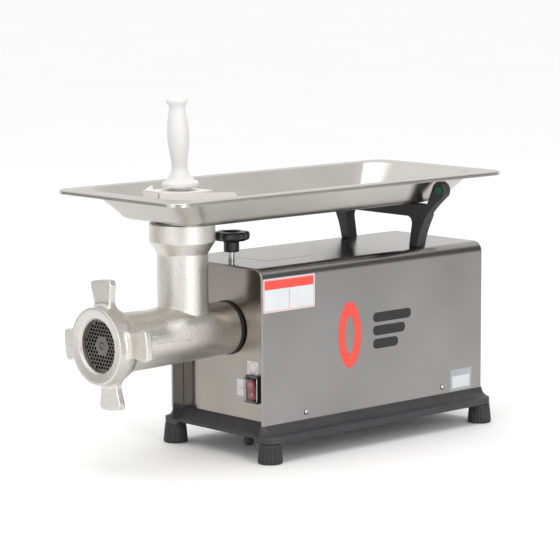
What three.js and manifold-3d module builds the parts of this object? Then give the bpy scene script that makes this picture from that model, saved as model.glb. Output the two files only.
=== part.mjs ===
// Electric meat grinder, size 22: a steel-clad drive housing on a cast base, a removable cast
// head with worm, knife, hole plate and ring nut, and a pressed tray with a guard and a plunger.
// Millimetres, +Z up. Y = 0 is the front edge of the housing cover while the parts are built;
// the finished group is moved so that its origin is the centre of its footprint on the table.

import * as THREE from 'three';
import { mergeVertices } from 'three/addons/utils/BufferGeometryUtils.js';
import Module from 'manifold-3d';

const wasm = await Module();
wasm.setup();

// ---------------------------------------------------------------- driving dimensions
const GAP = 0.3;                 // clearance between neighbouring pieces
const HEAD_SIDES = 28;           // flats round the head and its ring nut
const SHEET = 1.5;               // stainless sheet thickness

const AXIS_Z = 175.4;            // height of the worm axis
const THROAT_Y = -58;            // vertical feed axis
const RING_FRONT_Y = -211;       // front face of the ring nut
const TRAY_REAR_Y = 451;

const BASE = { halfX: 115, front: -3.5, rear: 443.2, bottom: 28, crease: 37.4, top: 51 };
const FOOT = { x: 100.5, frontY: 11, rearY: 428.7, topR: 15, bottomR: 17.3, height: 27.7 };
const CHASSIS = { bottom: 40, top: 43, halfX: 91, front: 19.8, rear: 416 };
const GLAND = { x: 31.5, y: 33.5, threadR: 6.2, flangeR: 8.2, boreR: 3.6, nutR: 8.4 };

const COVER = { halfX: 96.6, front: 0, rear: 435.4, bottom: 51.3, top: 268.2, fold: 15 };
const HEM = { thick: 3, long: 4 };
const COVER_SCREWS = { y: [82.4, 354], z: 61.3 };
const PANEL = { front: 22, bottom: 51.3, top: 266, halfX: 94.6, fold: 13 };
const SLOTS = { rows: 9, low: 120, pitch: 13, high: 5, halfX: 58 };
const REAR_PANEL_Y = 429;

const BARREL = { frontR: 41, rearR: 36.5, front: -170, rear: 17.7, boreR: 31, backWall: -10 };
const THREAD = { r: 44.6, front: -198, rear: -176 };
const SPIGOT = { r: 27, rear: 50, bushR: 13.4, socketR: 17.2, socketFront: 28 };
const JOURNAL = { r: 13, rear: 28.8, squareHalf: 6.8, squareRear: 46 };
const TUBE = { r: 35.1, boreR: 30, coneBottom: 287.5, coneTop: 303.8 };
const COLLAR = { r: 45.2, top: 329, boreR: 36.2, boreBottom: 309 };

const RING = { r: 52.5, openR: 35.6, length: 37, tailR: 46.6 };
const LUG = { tip: 88, front: -195, thick: 10.4, rootHalf: 16, tipHalf: 21.6, turn: 5.8 };
const PLATE = { r: 41, front: -200, thick: 9, holeR: 2.25, pitch: 5.7, holesTo: 34, clearRings: 2 };
const PIN = { r: 4.4, front: -199.8, holeR: 4.9 };
const WORM = { r: 30.2, coreR: 15, front: -181.6, rear: -12.9, pitch: 46, squareHalf: 6.2 };

const TRAY = { halfX: 131, halfY: 315, top: 373.7, floor: 333.5, lip: 5.5 };
const NECK = { r: 35.4, boreR: 33.8, bottom: 311, sides: 24 };
const GUARD = { halfX: 31, front: -98, rear: -31, top: 374, fenceFront: -126, fenceRear: 13 };
const PLUNGER = { lean: 2.4, seatZ: 375, seatY: -60.6, height: 125.2, shaft: 130, shaftR: 12.6 };

const KNOB = { y: 31, hubBottom: 281, hubR: 11, discBottom: 298.4, lobeR: 26, lobes: 6 };
const STUD = { r: 4.25, tip: 203.2, top: 290 };
const SWITCH = { x: 57.6, z: 95.8, wide: 25.5, high: 38.4, front: 14.7, proud: 6.5 };
const ROCKER = { wide: 16.8, high: 26.4, pivotY: 20.5 };
const BRACKET = { front: 318, legDepth: 17.4, armDepth: 12.7, boss: [120.4, 353.7], bossR: 12.8 };

const MOTOR = { z: 145, r: 64, boreR: 60.4, front: 146.6, bellRear: 158, middle: 210 };
const BEARING = { r: 16, bore: 7.3, front: 149.4 };
const FAN = { blades: 7, r: 50, hubR: 14, front: 282, rear: 296 };
const STAGE_ONE = { module: 1.75, pinion: 14, gear: 42, front: 110, wide: 13 };
const STAGE_TWO = { module: 2.5, pinion: 15, gear: 42, front: 82, wide: 20 };
const PRESSURE_ANGLE = THREE.MathUtils.degToRad(25);
const GEARBOX = { halfX: 89, bottom: 72, top: 238, front: 70, split: 76, rear: 146, wall: 5 };

// ---------------------------------------------------------------- materials
function finish(color, roughness, metalness) {
  return new THREE.MeshStandardMaterial({ color, roughness, metalness });
}

const STAINLESS = finish(0xc9c6bf, 0.3, 1);
const TINNED_CAST = finish(0xd6d2c8, 0.42, 1);
const PLATE_STEEL = finish(0x7d7b77, 0.4, 1);
const BRIGHT_STEEL = finish(0xb9bcc0, 0.25, 1);
const GREY_CASTING = finish(0x4d4d50, 0.6, 0);
const BLACK_CASTING = finish(0x38373a, 0.5, 0);
const RUBBER = finish(0x2c2c2e, 0.85, 0);
const BLACK_PLASTIC = finish(0x26262a, 0.5, 0);
const WHITE_PLASTIC = finish(0xf2f1ee, 0.45, 0);
const GREEN_PLASTIC = finish(0x00693c, 0.5, 0);
const RED_PLASTIC = finish(0xd0323e, 0.35, 0);
const CLEAR_PLASTIC = new THREE.MeshStandardMaterial({
  color: 0xdfe4e4, roughness: 0.1, metalness: 0, transparent: true, opacity: 0.35,
});
const IRON = finish(0x6a6a6c, 0.6, 1);
const ALUMINIUM = finish(0x9fa1a3, 0.5, 1);
const LAMINATION = finish(0x77787c, 0.5, 1);

// ---------------------------------------------------------------- solids
const UP = new THREE.Matrix4().makeRotationX(Math.PI / 2);   // turns a lathe's Y axis to +Z

function signedVolume(position, index) {
  const [a, b, c] = [new THREE.Vector3(), new THREE.Vector3(), new THREE.Vector3()];
  let sum = 0;
  for (let i = 0; i < index.length; i += 3) {
    a.fromBufferAttribute(position, index[i]);
    b.fromBufferAttribute(position, index[i + 1]);
    c.fromBufferAttribute(position, index[i + 2]);
    sum += a.dot(b.cross(c)) / 6;
  }
  return sum;
}

// A three.js geometry as a solid, with its faces turned outwards.
function solid(geometry) {
  const bare = geometry.clone();
  bare.deleteAttribute('normal');
  bare.deleteAttribute('uv');
  const merged = mergeVertices(bare, 1e-3);
  const faces = [];
  for (let i = 0; i < merged.index.count; i += 3) {
    const [a, b, c] = [0, 1, 2].map((k) => merged.index.getX(i + k));
    if (a !== b && b !== c && c !== a) faces.push(a, b, c);
  }
  if (signedVolume(merged.attributes.position, faces) < 0) faces.reverse();
  return new wasm.Manifold(new wasm.Mesh({
    numProp: 3,
    vertProperties: new Float32Array(merged.attributes.position.array),
    triVerts: new Uint32Array(faces),
  }));
}

function geometryOf(body) {
  const mesh = body.getMesh();
  const geometry = new THREE.BufferGeometry();
  geometry.setAttribute('position', new THREE.BufferAttribute(mesh.vertProperties, 3));
  geometry.setIndex(new THREE.BufferAttribute(mesh.triVerts, 1));
  return geometry;
}

function join(first, ...others) {
  return others.reduce((sum, next) => sum.add(next), first);
}

function cut(first, ...others) {
  return others.reduce((rest, next) => rest.subtract(next), first);
}

// A turned piece about the Y axis; profile points are [radius, y].
function turned(profile, sides = 16) {
  const points = profile.map(([r, y]) => new THREE.Vector2(r, y));
  return solid(new THREE.LatheGeometry(points, sides));
}

// The same about a vertical axis; profile points are [radius, z].
function turnedUp(profile, x, y, sides = 16) {
  const points = profile.map(([r, z]) => new THREE.Vector2(r, z));
  const geometry = new THREE.LatheGeometry(points, sides);
  geometry.applyMatrix4(UP);
  geometry.translate(x, y, 0);
  return solid(geometry);
}

// Radius at the corners of a polygon whose flats just clear a circle of radius r.
function around(r, sides) {
  return r / Math.cos(Math.PI / sides);
}

// A tube along Y, with a polygonal bore that clears a shaft of radius bore.
function tube(r, bore, y0, y1, sides = 16) {
  const inner = around(bore, sides);
  return turned([[inner, y0], [r, y0], [r, y1], [inner, y1], [inner, y0]], sides);
}

function rod(r, y0, y1, sides = 16) {
  return turned([[0, y0], [r, y0], [r, y1], [0, y1]], sides);
}

function rodUp(r, z0, z1, x, y, sides = 16) {
  return turnedUp([[0, z0], [r, z0], [r, z1], [0, z1]], x, y, sides);
}

function rodAcross(r, x0, x1, y, z, sides = 16) {
  const geometry = new THREE.CylinderGeometry(r, r, x1 - x0, sides);
  geometry.rotateZ(Math.PI / 2);
  geometry.translate((x0 + x1) / 2, y, z);
  return solid(geometry);
}

function block(x0, x1, y0, y1, z0, z1) {
  const geometry = new THREE.BoxGeometry(x1 - x0, y1 - y0, z1 - z0);
  geometry.translate((x0 + x1) / 2, (y0 + y1) / 2, (z0 + z1) / 2);
  return solid(geometry);
}

function shapeOf(points) {
  return new THREE.Shape(points.map(([u, v]) => new THREE.Vector2(u, v)));
}

// An outline in X and Z, pushed along Y.
function alongY(shape, y0, y1, curveSegments = 6) {
  const options = { depth: y1 - y0, bevelEnabled: false, curveSegments };
  const geometry = new THREE.ExtrudeGeometry(shape, options);
  geometry.rotateX(Math.PI / 2);
  geometry.translate(0, y1, 0);
  return solid(geometry);
}

// An outline in Y and Z, pushed along X.
function alongX(shape, x0, x1, curveSegments = 6) {
  const options = { depth: x1 - x0, bevelEnabled: false, curveSegments };
  const geometry = new THREE.ExtrudeGeometry(shape, options);
  geometry.rotateY(Math.PI / 2);
  geometry.rotateX(Math.PI / 2);
  geometry.translate(x0, 0, 0);
  return solid(geometry);
}

// A rounded rectangle as points, counter-clockwise from above.
function roundedRing(halfX, y0, y1, radius, z, steps = 5) {
  const corners = [
    [halfX - radius, y1 - radius, 0],
    [-halfX + radius, y1 - radius, 1],
    [-halfX + radius, y0 + radius, 2],
    [halfX - radius, y0 + radius, 3],
  ];
  const ring = [];
  for (const [x, y, quarter] of corners) {
    for (let i = 0; i <= steps; i += 1) {
      const angle = (quarter + i / steps) * Math.PI / 2;
      ring.push([x + radius * Math.cos(angle), y + radius * Math.sin(angle), z]);
    }
  }
  return ring;
}

// A skin through rings of equal length: capped at its ends, or closed into a loop.
function skin(rings, loop = false) {
  const count = rings[0].length;
  const bands = loop ? rings.length : rings.length - 1;
  const faces = [];
  for (let band = 0; band < bands; band += 1) {
    const low = band * count;
    const high = ((band + 1) % rings.length) * count;
    for (let i = 0; i < count; i += 1) {
      const next = (i + 1) % count;
      faces.push(low + i, low + next, high + next, low + i, high + next, high + i);
    }
  }
  if (!loop) {
    const last = (rings.length - 1) * count;
    for (let i = 1; i < count - 1; i += 1) {
      faces.push(0, i + 1, i, last, last + i, last + i + 1);
    }
  }
  const geometry = new THREE.BufferGeometry();
  geometry.setAttribute('position', new THREE.Float32BufferAttribute(rings.flat(2), 3));
  geometry.setIndex(faces);
  return solid(geometry);
}

function mirrored(body) {
  const geometry = geometryOf(body);
  geometry.scale(-1, 1, 1);
  return solid(geometry);
}

function turnAboutY(body, angle, z = AXIS_Z) {
  const geometry = geometryOf(body);
  geometry.translate(0, 0, -z);
  geometry.rotateY(angle);
  geometry.translate(0, 0, z);
  return solid(geometry);
}

function moved(body, x, y, z) {
  const geometry = geometryOf(body);
  geometry.translate(x, y, z);
  return solid(geometry);
}

// ---------------------------------------------------------------- assembly
const grinder = new THREE.Group();
grinder.name = 'electric_meat_grinder';

function add(name, body, material) {
  const mesh = new THREE.Mesh(geometryOf(body), material);
  mesh.name = name;
  grinder.add(mesh);
}

// A piece whose own Y axis lies on the worm axis.
function addOnAxis(name, body, material, x = 0, z = AXIS_Z) {
  add(name, moved(body, x, 0, z), material);
}

// ---------------------------------------------------------------- base, feet and gland
function baseFrame() {
  const outer = (halfX, inset, radius, z) =>
    roundedRing(halfX, BASE.front + inset, BASE.rear - inset, radius, z, 4);
  const [seat, lip] = [CHASSIS.bottom - GAP, CHASSIS.top + 2 * GAP];
  const inner = (halfX, front, z) => roundedRing(halfX, front, 416.8, 6, z, 4);
  const frame = skin([
    outer(BASE.halfX, 0, 14.5, BASE.bottom),
    outer(BASE.halfX, 0, 14.5, BASE.crease),
    outer(108, 1.2, 12, 39.5),
    outer(102, 2, 10, 43),
    outer(98.5, 2.6, 8, 47.5),
    outer(97.5, 2.8, 7, BASE.top),
    inner(91.5, 24.5, BASE.top),
    inner(91.5, 24.5, lip),
    inner(91.5, 19.3, lip),
    inner(91.5, 19.3, seat),
    inner(84, 19.3, seat),
    inner(84, 19.3, BASE.bottom),
  ], true);
  const frontSlope = alongX(shapeOf([
    [-20, 36.4], [2, 36.4], [21.3, BASE.top], [21.3, 60], [-20, 60],
  ]), -92, 92);
  const frontLip = block(-84, 84, -20, 2, 20, 60);
  const frontNotch = block(-84, 84, -20, 19, 20, 31.8);
  return cut(frame, frontSlope, frontLip, frontNotch);
}

// A rubber foot with upright ribs, its edge rounded where it meets the table.
function foot(x, y) {
  const ribs = 10;
  const levels = [
    [FOOT.bottomR - 1.6, 0], [FOOT.bottomR, 2.4],
    [FOOT.topR + 0.4, FOOT.height - 2], [FOOT.topR, FOOT.height],
  ];
  const rings = levels.map(([r, z]) => {
    const ring = [];
    for (let i = 0; i < ribs * 2; i += 1) {
      const angle = (i / (ribs * 2)) * Math.PI * 2;
      const radius = r - (i % 2) * 1.1;
      ring.push([x + radius * Math.cos(angle), y + radius * Math.sin(angle), z]);
    }
    return ring;
  });
  return skin(rings);
}

function chassisPlate() {
  const ring = (z) => roundedRing(CHASSIS.halfX, CHASSIS.front, CHASSIS.rear, 5, z, 2);
  return cut(
    skin([ring(CHASSIS.bottom), ring(CHASSIS.top)]),
    rodUp(around(GLAND.threadR + 0.4, 16), 30, 50, GLAND.x, GLAND.y, 16),
  );
}

function addBase() {
  add('base_frame', baseFrame(), GREY_CASTING);
  add('chassis_plate', chassisPlate(), IRON);
  add('foot_front_left', foot(-FOOT.x, FOOT.frontY), RUBBER);
  add('foot_front_right', foot(FOOT.x, FOOT.frontY), RUBBER);
  add('foot_rear_left', foot(-FOOT.x, FOOT.rearY), RUBBER);
  add('foot_rear_right', foot(FOOT.x, FOOT.rearY), RUBBER);
  const { x, y, threadR, flangeR, boreR, nutR } = GLAND;
  const seat = CHASSIS.bottom - GAP;
  const gland = cut(
    turnedUp([[0, 12], [5.2, 12], [7, 15], [7, 26], [flangeR, 26], [flangeR, seat],
      [threadR, seat], [threadR, 46.8], [0, 46.8]], x, y, 16),
    rodUp(boreR, 0, 60, x, y, 12),
  );
  add('cord_gland', gland, BLACK_PLASTIC);
  const nutInner = around(threadR + 0.2, 12);
  const [nutLow, nutHigh] = [CHASSIS.top + GAP, CHASSIS.top + 5.6];
  add('gland_nut', turnedUp([[nutInner, nutLow], [nutR, nutLow], [nutR, nutHigh],
    [nutInner, nutHigh], [nutInner, nutLow]], x, y, 12), BLACK_PLASTIC);
}

// ---------------------------------------------------------------- housing
function archShape(halfX, bottom, top, radius) {
  const shape = new THREE.Shape();
  shape.moveTo(-halfX, bottom);
  shape.lineTo(halfX, bottom);
  shape.lineTo(halfX, top - radius);
  shape.absarc(halfX - radius, top - radius, radius, 0, Math.PI / 2);
  shape.lineTo(-halfX + radius, top);
  shape.absarc(-halfX + radius, top - radius, radius, Math.PI / 2, Math.PI);
  return shape;
}

function housingCover() {
  const outside = alongY(
    archShape(COVER.halfX, COVER.bottom, COVER.top, COVER.fold), COVER.front, COVER.rear);
  const inside = (wall, y0, y1) => alongY(
    archShape(COVER.halfX - wall, COVER.bottom - 20, COVER.top - wall, COVER.fold - wall), y0, y1);
  const screwHoles = COVER_SCREWS.y.map((y) =>
    rodAcross(around(2.7, 8), -120, 120, y, COVER_SCREWS.z, 8));
  return cut(
    outside,
    inside(HEM.thick, COVER.front - 5, COVER.front + HEM.long),
    inside(SHEET, COVER.front + HEM.long - 0.01, COVER.rear + 5),
    rodUp(around(STUD.r + 1.35, 16), 200, 300, 0, KNOB.y, 16),
    ...screwHoles,
  );
}

function endSheet(y) {
  return alongY(archShape(PANEL.halfX, PANEL.bottom, PANEL.top, PANEL.fold), y, y + SHEET);
}

function frontPanel() {
  const spigotHole = moved(rod(around(SPIGOT.r + 1.6, 32), 0, 60, 32), 0, 0, AXIS_Z);
  const switchHole = block(SWITCH.x - 11.4, SWITCH.x + 11.4, 0, 60,
    SWITCH.z - 16.4, SWITCH.z + 16.4);
  return cut(endSheet(PANEL.front), spigotHole, switchHole);
}

function rearPanel() {
  const slots = [];
  for (let row = 0; row < SLOTS.rows; row += 1) {
    const z = SLOTS.low + row * SLOTS.pitch;
    slots.push(block(-SLOTS.halfX, SLOTS.halfX, 400, 460, z, z + SLOTS.high));
  }
  return cut(endSheet(REAR_PANEL_Y), ...slots);
}

function coverScrew(side, y) {
  const head = COVER.halfX + GAP;
  const profile = [[0, head - 9], [2.2, head - 9], [2.2, head], [4, head], [3.4, head + 1.7],
    [0, head + 2.4]];
  const points = profile.map(([r, x]) => new THREE.Vector2(r, x));
  const geometry = new THREE.LatheGeometry(points, 12);
  geometry.rotateZ(-Math.PI / 2);
  geometry.translate(0, y, COVER_SCREWS.z);
  const screw = solid(geometry);
  return side > 0 ? screw : mirrored(screw);
}

function addHousing() {
  add('housing_cover', housingCover(), STAINLESS);
  add('front_panel', frontPanel(), STAINLESS);
  add('rear_panel', rearPanel(), STAINLESS);
  add('cover_screw_front_right', coverScrew(1, COVER_SCREWS.y[0]), BRIGHT_STEEL);
  add('cover_screw_front_left', coverScrew(-1, COVER_SCREWS.y[0]), BRIGHT_STEEL);
  add('cover_screw_rear_right', coverScrew(1, COVER_SCREWS.y[1]), BRIGHT_STEEL);
  add('cover_screw_rear_left', coverScrew(-1, COVER_SCREWS.y[1]), BRIGHT_STEEL);
}

// ---------------------------------------------------------------- grinding head
function grinderHead() {
  const plateRear = PLATE.front + PLATE.thick + GAP;
  const [plateR, bushR, socketR, collarR] = [
    PLATE.r + GAP, SPIGOT.bushR, SPIGOT.socketR, COLLAR.boreR,
  ].map((r) => around(r, HEAD_SIDES));
  const barrel = turned([
    [0, THREAD.front], [THREAD.r, THREAD.front], [THREAD.r, THREAD.rear],
    [BARREL.frontR, BARREL.front], [BARREL.rearR, BARREL.rear], [SPIGOT.r, BARREL.rear],
    [SPIGOT.r, SPIGOT.rear], [0, SPIGOT.rear],
  ], HEAD_SIDES);
  const bore = turned([
    [0, THREAD.front - 5], [plateR, THREAD.front - 5], [plateR, plateRear],
    [BARREL.boreR, plateRear], [BARREL.boreR, BARREL.backWall], [bushR, BARREL.backWall],
    [bushR, SPIGOT.socketFront], [socketR, SPIGOT.socketFront], [socketR, SPIGOT.rear + 5],
    [0, SPIGOT.rear + 5],
  ], HEAD_SIDES);
  const feedTube = turnedUp([
    [0, AXIS_Z], [TUBE.r, AXIS_Z], [TUBE.r, TUBE.coneBottom], [COLLAR.r, TUBE.coneTop],
    [COLLAR.r, COLLAR.top], [0, COLLAR.top],
  ], 0, THROAT_Y, HEAD_SIDES);
  const feedBore = turnedUp([
    [0, AXIS_Z], [TUBE.boreR, AXIS_Z], [TUBE.boreR, COLLAR.boreBottom],
    [collarR, COLLAR.boreBottom], [collarR, COLLAR.top + 5], [0, COLLAR.top + 5],
  ], 0, THROAT_Y, HEAD_SIDES);
  return cut(join(moved(barrel, 0, 0, AXIS_Z), feedTube), moved(bore, 0, 0, AXIS_Z), feedBore);
}

// One lug of the ring nut: it widens towards a tip with rounded corners.
function ringLug() {
  const { tip, front, thick, rootHalf, tipHalf } = LUG;
  const shape = new THREE.Shape();
  shape.moveTo(-rootHalf, 46);
  shape.lineTo(rootHalf, 46);
  shape.lineTo(tipHalf, tip - 8);
  shape.quadraticCurveTo(tipHalf + 0.8, tip - 1.5, 14, tip);
  shape.lineTo(-14, tip);
  shape.quadraticCurveTo(-tipHalf - 0.8, tip - 1.5, -tipHalf, tip - 8);
  return alongY(shape, front, front + thick, 2);
}

function ringNut() {
  const front = RING_FRONT_Y;
  const rear = front + RING.length;
  const threadBore = around(THREAD.r + 0.4, HEAD_SIDES);
  const plateBore = around(PLATE.r + 0.8, HEAD_SIDES);
  const body = turned([
    [RING.openR, front + 4.6], [RING.r - 2.5, front], [RING.r - 0.6, front + 0.6],
    [RING.r, front + 2.4], [RING.r, front + 22], [RING.tailR, rear], [threadBore, rear],
    [threadBore, THREAD.front - 0.5], [plateBore, THREAD.front - 0.5],
    [plateBore, PLATE.front - GAP], [RING.openR, PLATE.front - GAP], [RING.openR, front + 4.6],
  ], HEAD_SIDES);
  const turn = THREE.MathUtils.degToRad(LUG.turn);
  const lugs = [0, 1, 2, 3].map((quarter) =>
    turnAboutY(ringLug(), quarter * Math.PI / 2 - turn, 0));
  const lugCore = rod(RING.r - 3, front - 10, rear + 10, HEAD_SIDES);
  return join(body, ...lugs.map((lug) => cut(lug, lugCore)));
}

// A disc with a hexagonal field of holes, drawn four-sided, around a plain hexagon.
function holePlate() {
  const outline = new THREE.Shape();
  outline.absarc(0, 0, PLATE.r, 0, Math.PI * 2);
  const centre = new THREE.Path();
  centre.absarc(0, 0, around(PIN.holeR, 20), 0, Math.PI * 2, true);
  outline.holes.push(centre);
  const rows = Math.ceil(PLATE.holesTo / PLATE.pitch) + 1;
  for (let row = -rows; row <= rows; row += 1) {
    for (let column = -2 * rows; column <= 2 * rows; column += 1) {
      const x = (column + row / 2) * PLATE.pitch;
      const z = row * PLATE.pitch * Math.sqrt(3) / 2;
      const ring = Math.max(Math.abs(row), Math.abs(column), Math.abs(row + column));
      if (Math.hypot(x, z) > PLATE.holesTo || ring <= PLATE.clearRings) continue;
      const corners = [];
      for (let i = 0; i < 4; i += 1) {
        const angle = -i * Math.PI / 2;
        corners.push(new THREE.Vector2(x + PLATE.holeR * Math.cos(angle),
          z + PLATE.holeR * Math.sin(angle)));
      }
      outline.holes.push(new THREE.Path(corners));
    }
  }
  return alongY(outline, PLATE.front, PLATE.front + PLATE.thick, 10);
}

function cutterKnife() {
  const front = PLATE.front + PLATE.thick + 0.5;
  const rear = WORM.front - GAP;
  const arm = alongY(shapeOf([[-5, 8], [5.5, 8], [3.5, 29], [-6.5, 28]]), front, rear);
  const arms = [0, 1, 2, 3].map((quarter) => turnAboutY(arm, quarter * Math.PI / 2, 0));
  const half = WORM.squareHalf + GAP;
  const hub = rod(12.5, front, rear, 20);
  return cut(join(hub, ...arms), block(-half, half, front - 5, rear + 5, -half, half));
}

// The flight is a ridge whose crest winds once per pitch round a tapering core.
function feedWorm() {
  const sides = 12;
  const steps = 26;
  const rings = [];
  for (let step = 0; step <= steps; step += 1) {
    const along = step / steps;
    const y = WORM.front + (WORM.rear - WORM.front) * along;
    const core = WORM.coreR + 4 * (1 - along);
    const ring = [];
    for (let i = 0; i < sides; i += 1) {
      const angle = (i / sides) * Math.PI * 2;
      const phase = THREE.MathUtils.euclideanModulo(y / WORM.pitch + i / sides, 1);
      const ridge = THREE.MathUtils.clamp(1.9 - Math.abs(phase - 0.5) * 7, 0, 1);
      const edge = Math.min(1, along * 20, (1 - along) * 20);
      const r = core + (WORM.r - core) * ridge * edge;
      ring.push([r * Math.cos(angle), y, r * Math.sin(angle)]);
    }
    rings.push(ring);
  }
  const squareHalf = WORM.squareHalf;
  const tailHalf = JOURNAL.squareHalf;
  return join(
    skin(rings),
    block(-squareHalf, squareHalf, -190.2, WORM.front + 2, -squareHalf, squareHalf),
    rod(PIN.r, PIN.front, WORM.front, 16),
    rod(JOURNAL.r, WORM.rear - 2, JOURNAL.rear, 24),
    block(-tailHalf, tailHalf, JOURNAL.rear - 0.8, JOURNAL.squareRear, -tailHalf, tailHalf),
  );
}

function addHead() {
  add('grinder_head', grinderHead(), TINNED_CAST);
  const gasket = tube(38, SPIGOT.r + GAP, BARREL.rear + GAP, PANEL.front - GAP, 24);
  const washer = tube(28, JOURNAL.r + GAP, WORM.rear + GAP, BARREL.backWall - GAP, 18);
  addOnAxis('head_gasket', gasket, RUBBER);
  addOnAxis('ring_nut', ringNut(), TINNED_CAST);
  addOnAxis('hole_plate', holePlate(), PLATE_STEEL);
  addOnAxis('cutter_knife', cutterKnife(), BRIGHT_STEEL);
  addOnAxis('feed_worm', feedWorm(), TINNED_CAST);
  addOnAxis('thrust_washer', washer, BRIGHT_STEEL);
}

// ---------------------------------------------------------------- gears
function involute(angle) {
  return Math.tan(angle) - angle;
}

// A spur gear outline in X and Z with one tooth centred on the direction facing.
function gearShape(teeth, module, facing, bore) {
  const backlash = 0.12 * module;
  const pitch = teeth * module / 2;
  const base = pitch * Math.cos(PRESSURE_ANGLE);
  const root = pitch - 1.2 * module;
  const tip = pitch + 0.95 * module;
  const halfAtPitch = Math.PI / 2 / teeth - backlash / pitch;
  const halfAt = (r) => halfAtPitch + involute(PRESSURE_ANGLE)
    - involute(Math.acos(Math.min(1, base / r)));
  const flank = teeth > 20 ? [root, tip] : [root, pitch, tip];
  const points = [];
  for (let tooth = 0; tooth < teeth; tooth += 1) {
    const centre = facing + tooth * Math.PI * 2 / teeth;
    for (const r of flank) {
      points.push([r * Math.cos(centre - halfAt(r)), r * Math.sin(centre - halfAt(r))]);
    }
    for (const r of [...flank].reverse()) {
      points.push([r * Math.cos(centre + halfAt(r)), r * Math.sin(centre + halfAt(r))]);
    }
  }
  const shape = shapeOf(points);
  const hole = new THREE.Path();
  hole.absarc(0, 0, around(bore, 16), 0, Math.PI * 2, true);
  shape.holes.push(hole);
  return shape;
}

function centreDistance(stage) {
  return (stage.pinion + stage.gear) * stage.module / 2;
}

// The idler axis stands one centre distance from the drive shaft and one from the motor.
function idlerAxis() {
  const toDrive = centreDistance(STAGE_TWO);
  const toMotor = centreDistance(STAGE_ONE);
  const span = AXIS_Z - MOTOR.z;
  const drop = (toDrive ** 2 - toMotor ** 2 + span ** 2) / (2 * span);
  return { x: -Math.sqrt(toDrive ** 2 - drop ** 2), z: AXIS_Z - drop };
}

const IDLER = idlerAxis();

function addGears() {
  const one = STAGE_ONE;
  const two = STAGE_TWO;
  const idlerToMotor = Math.atan2(MOTOR.z - IDLER.z, -IDLER.x);
  const idlerToDrive = Math.atan2(AXIS_Z - IDLER.z, -IDLER.x);
  const gear = (stage, teeth, facing, bore) => alongY(
    gearShape(teeth, stage.module, facing, bore), stage.front, stage.front + stage.wide, 8);
  const idlerGear = gear(one, one.gear, idlerToMotor, 9.3);
  const motorPinion = gear(one, one.pinion, idlerToMotor + Math.PI + Math.PI / one.pinion, 6.3);
  const idlerPinion = gear(two, two.pinion, idlerToDrive, 9.3);
  const outputGear = gear(two, two.gear, idlerToDrive + Math.PI + Math.PI / two.gear, 12.6);
  addOnAxis('output_gear', outputGear, IRON);
  addOnAxis('idler_gear', idlerGear, IRON, IDLER.x, IDLER.z);
  addOnAxis('idler_pinion', idlerPinion, BRIGHT_STEEL, IDLER.x, IDLER.z);
  addOnAxis('motor_pinion', motorPinion, BRIGHT_STEEL, 0, MOTOR.z);
}

// ---------------------------------------------------------------- gearbox
function driveShaft() {
  const shaft = turned([
    [0, 30], [16.4, 30], [16.4, 52], [12.3, 52], [12.3, 122], [8.3, 122], [8.3, 138], [0, 138],
  ]);
  const half = JOURNAL.squareHalf + 0.5;
  return cut(shaft, block(-half, half, 20, JOURNAL.squareRear + 2, -half, half));
}

function gearboxOutline(grow) {
  const shape = new THREE.Shape();
  const halfX = GEARBOX.halfX + grow;
  const [low, high] = [GEARBOX.bottom - grow, GEARBOX.top + grow];
  shape.moveTo(-halfX, low);
  shape.lineTo(halfX, low);
  shape.lineTo(halfX, 150);
  shape.lineTo(66 + grow, high);
  shape.lineTo(-66 - grow, high);
  shape.lineTo(-halfX, 150);
  return shape;
}

function gearboxCover() {
  const socket = moved(rod(34, 24, GEARBOX.split, 20), 0, 0, AXIS_Z);
  const clampBoss = block(-10, 10, 24, 42, 195, 262);
  const wall = alongY(gearboxOutline(0), GEARBOX.front, GEARBOX.split);
  const bore = moved(turned([
    [0, 20], [around(SPIGOT.r + GAP, 20), 20], [around(SPIGOT.r + GAP, 20), 57.7],
    [around(26 + GAP, 20), 57.7], [around(26 + GAP, 20), 73.3], [22, 73.3], [22, 90], [0, 90],
  ], 20), 0, 0, AXIS_Z);
  const studHole = rodUp(around(4.7, 16), 190, 280, 0, KNOB.y, 16);
  const idlerPocket = moved(rod(around(12.3, 20), 70.5, 90, 20), IDLER.x, 0, IDLER.z);
  return cut(join(socket, clampBoss, wall), bore, studHole, idlerPocket);
}

function gearboxBody() {
  const outside = alongY(gearboxOutline(0), GEARBOX.split + GAP, GEARBOX.rear);
  const inside = alongY(gearboxOutline(-GEARBOX.wall), GEARBOX.split - 5, GEARBOX.rear - 6);
  const boss = (x, z, r) => moved(rod(r, 128, GEARBOX.rear - 3, 20), x, 0, z);
  const pocket = (x, z, r, y) => moved(rod(around(r, 20), 100, y, 20), x, 0, z);
  const feet = [-1, 1].map((side) => block(side * 70 - 12, side * 70 + 12,
    90, 140, CHASSIS.top + GAP, GEARBOX.bottom + 2));
  return cut(
    join(cut(outside, inside), boss(0, AXIS_Z, 19), boss(IDLER.x, IDLER.z, 16), ...feet),
    pocket(0, AXIS_Z, 16 + GAP, 140),
    pocket(IDLER.x, IDLER.z, 12 + GAP, 140),
    moved(rod(around(11, 20), 100, 160, 20), 0, 0, MOTOR.z),
  );
}

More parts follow.
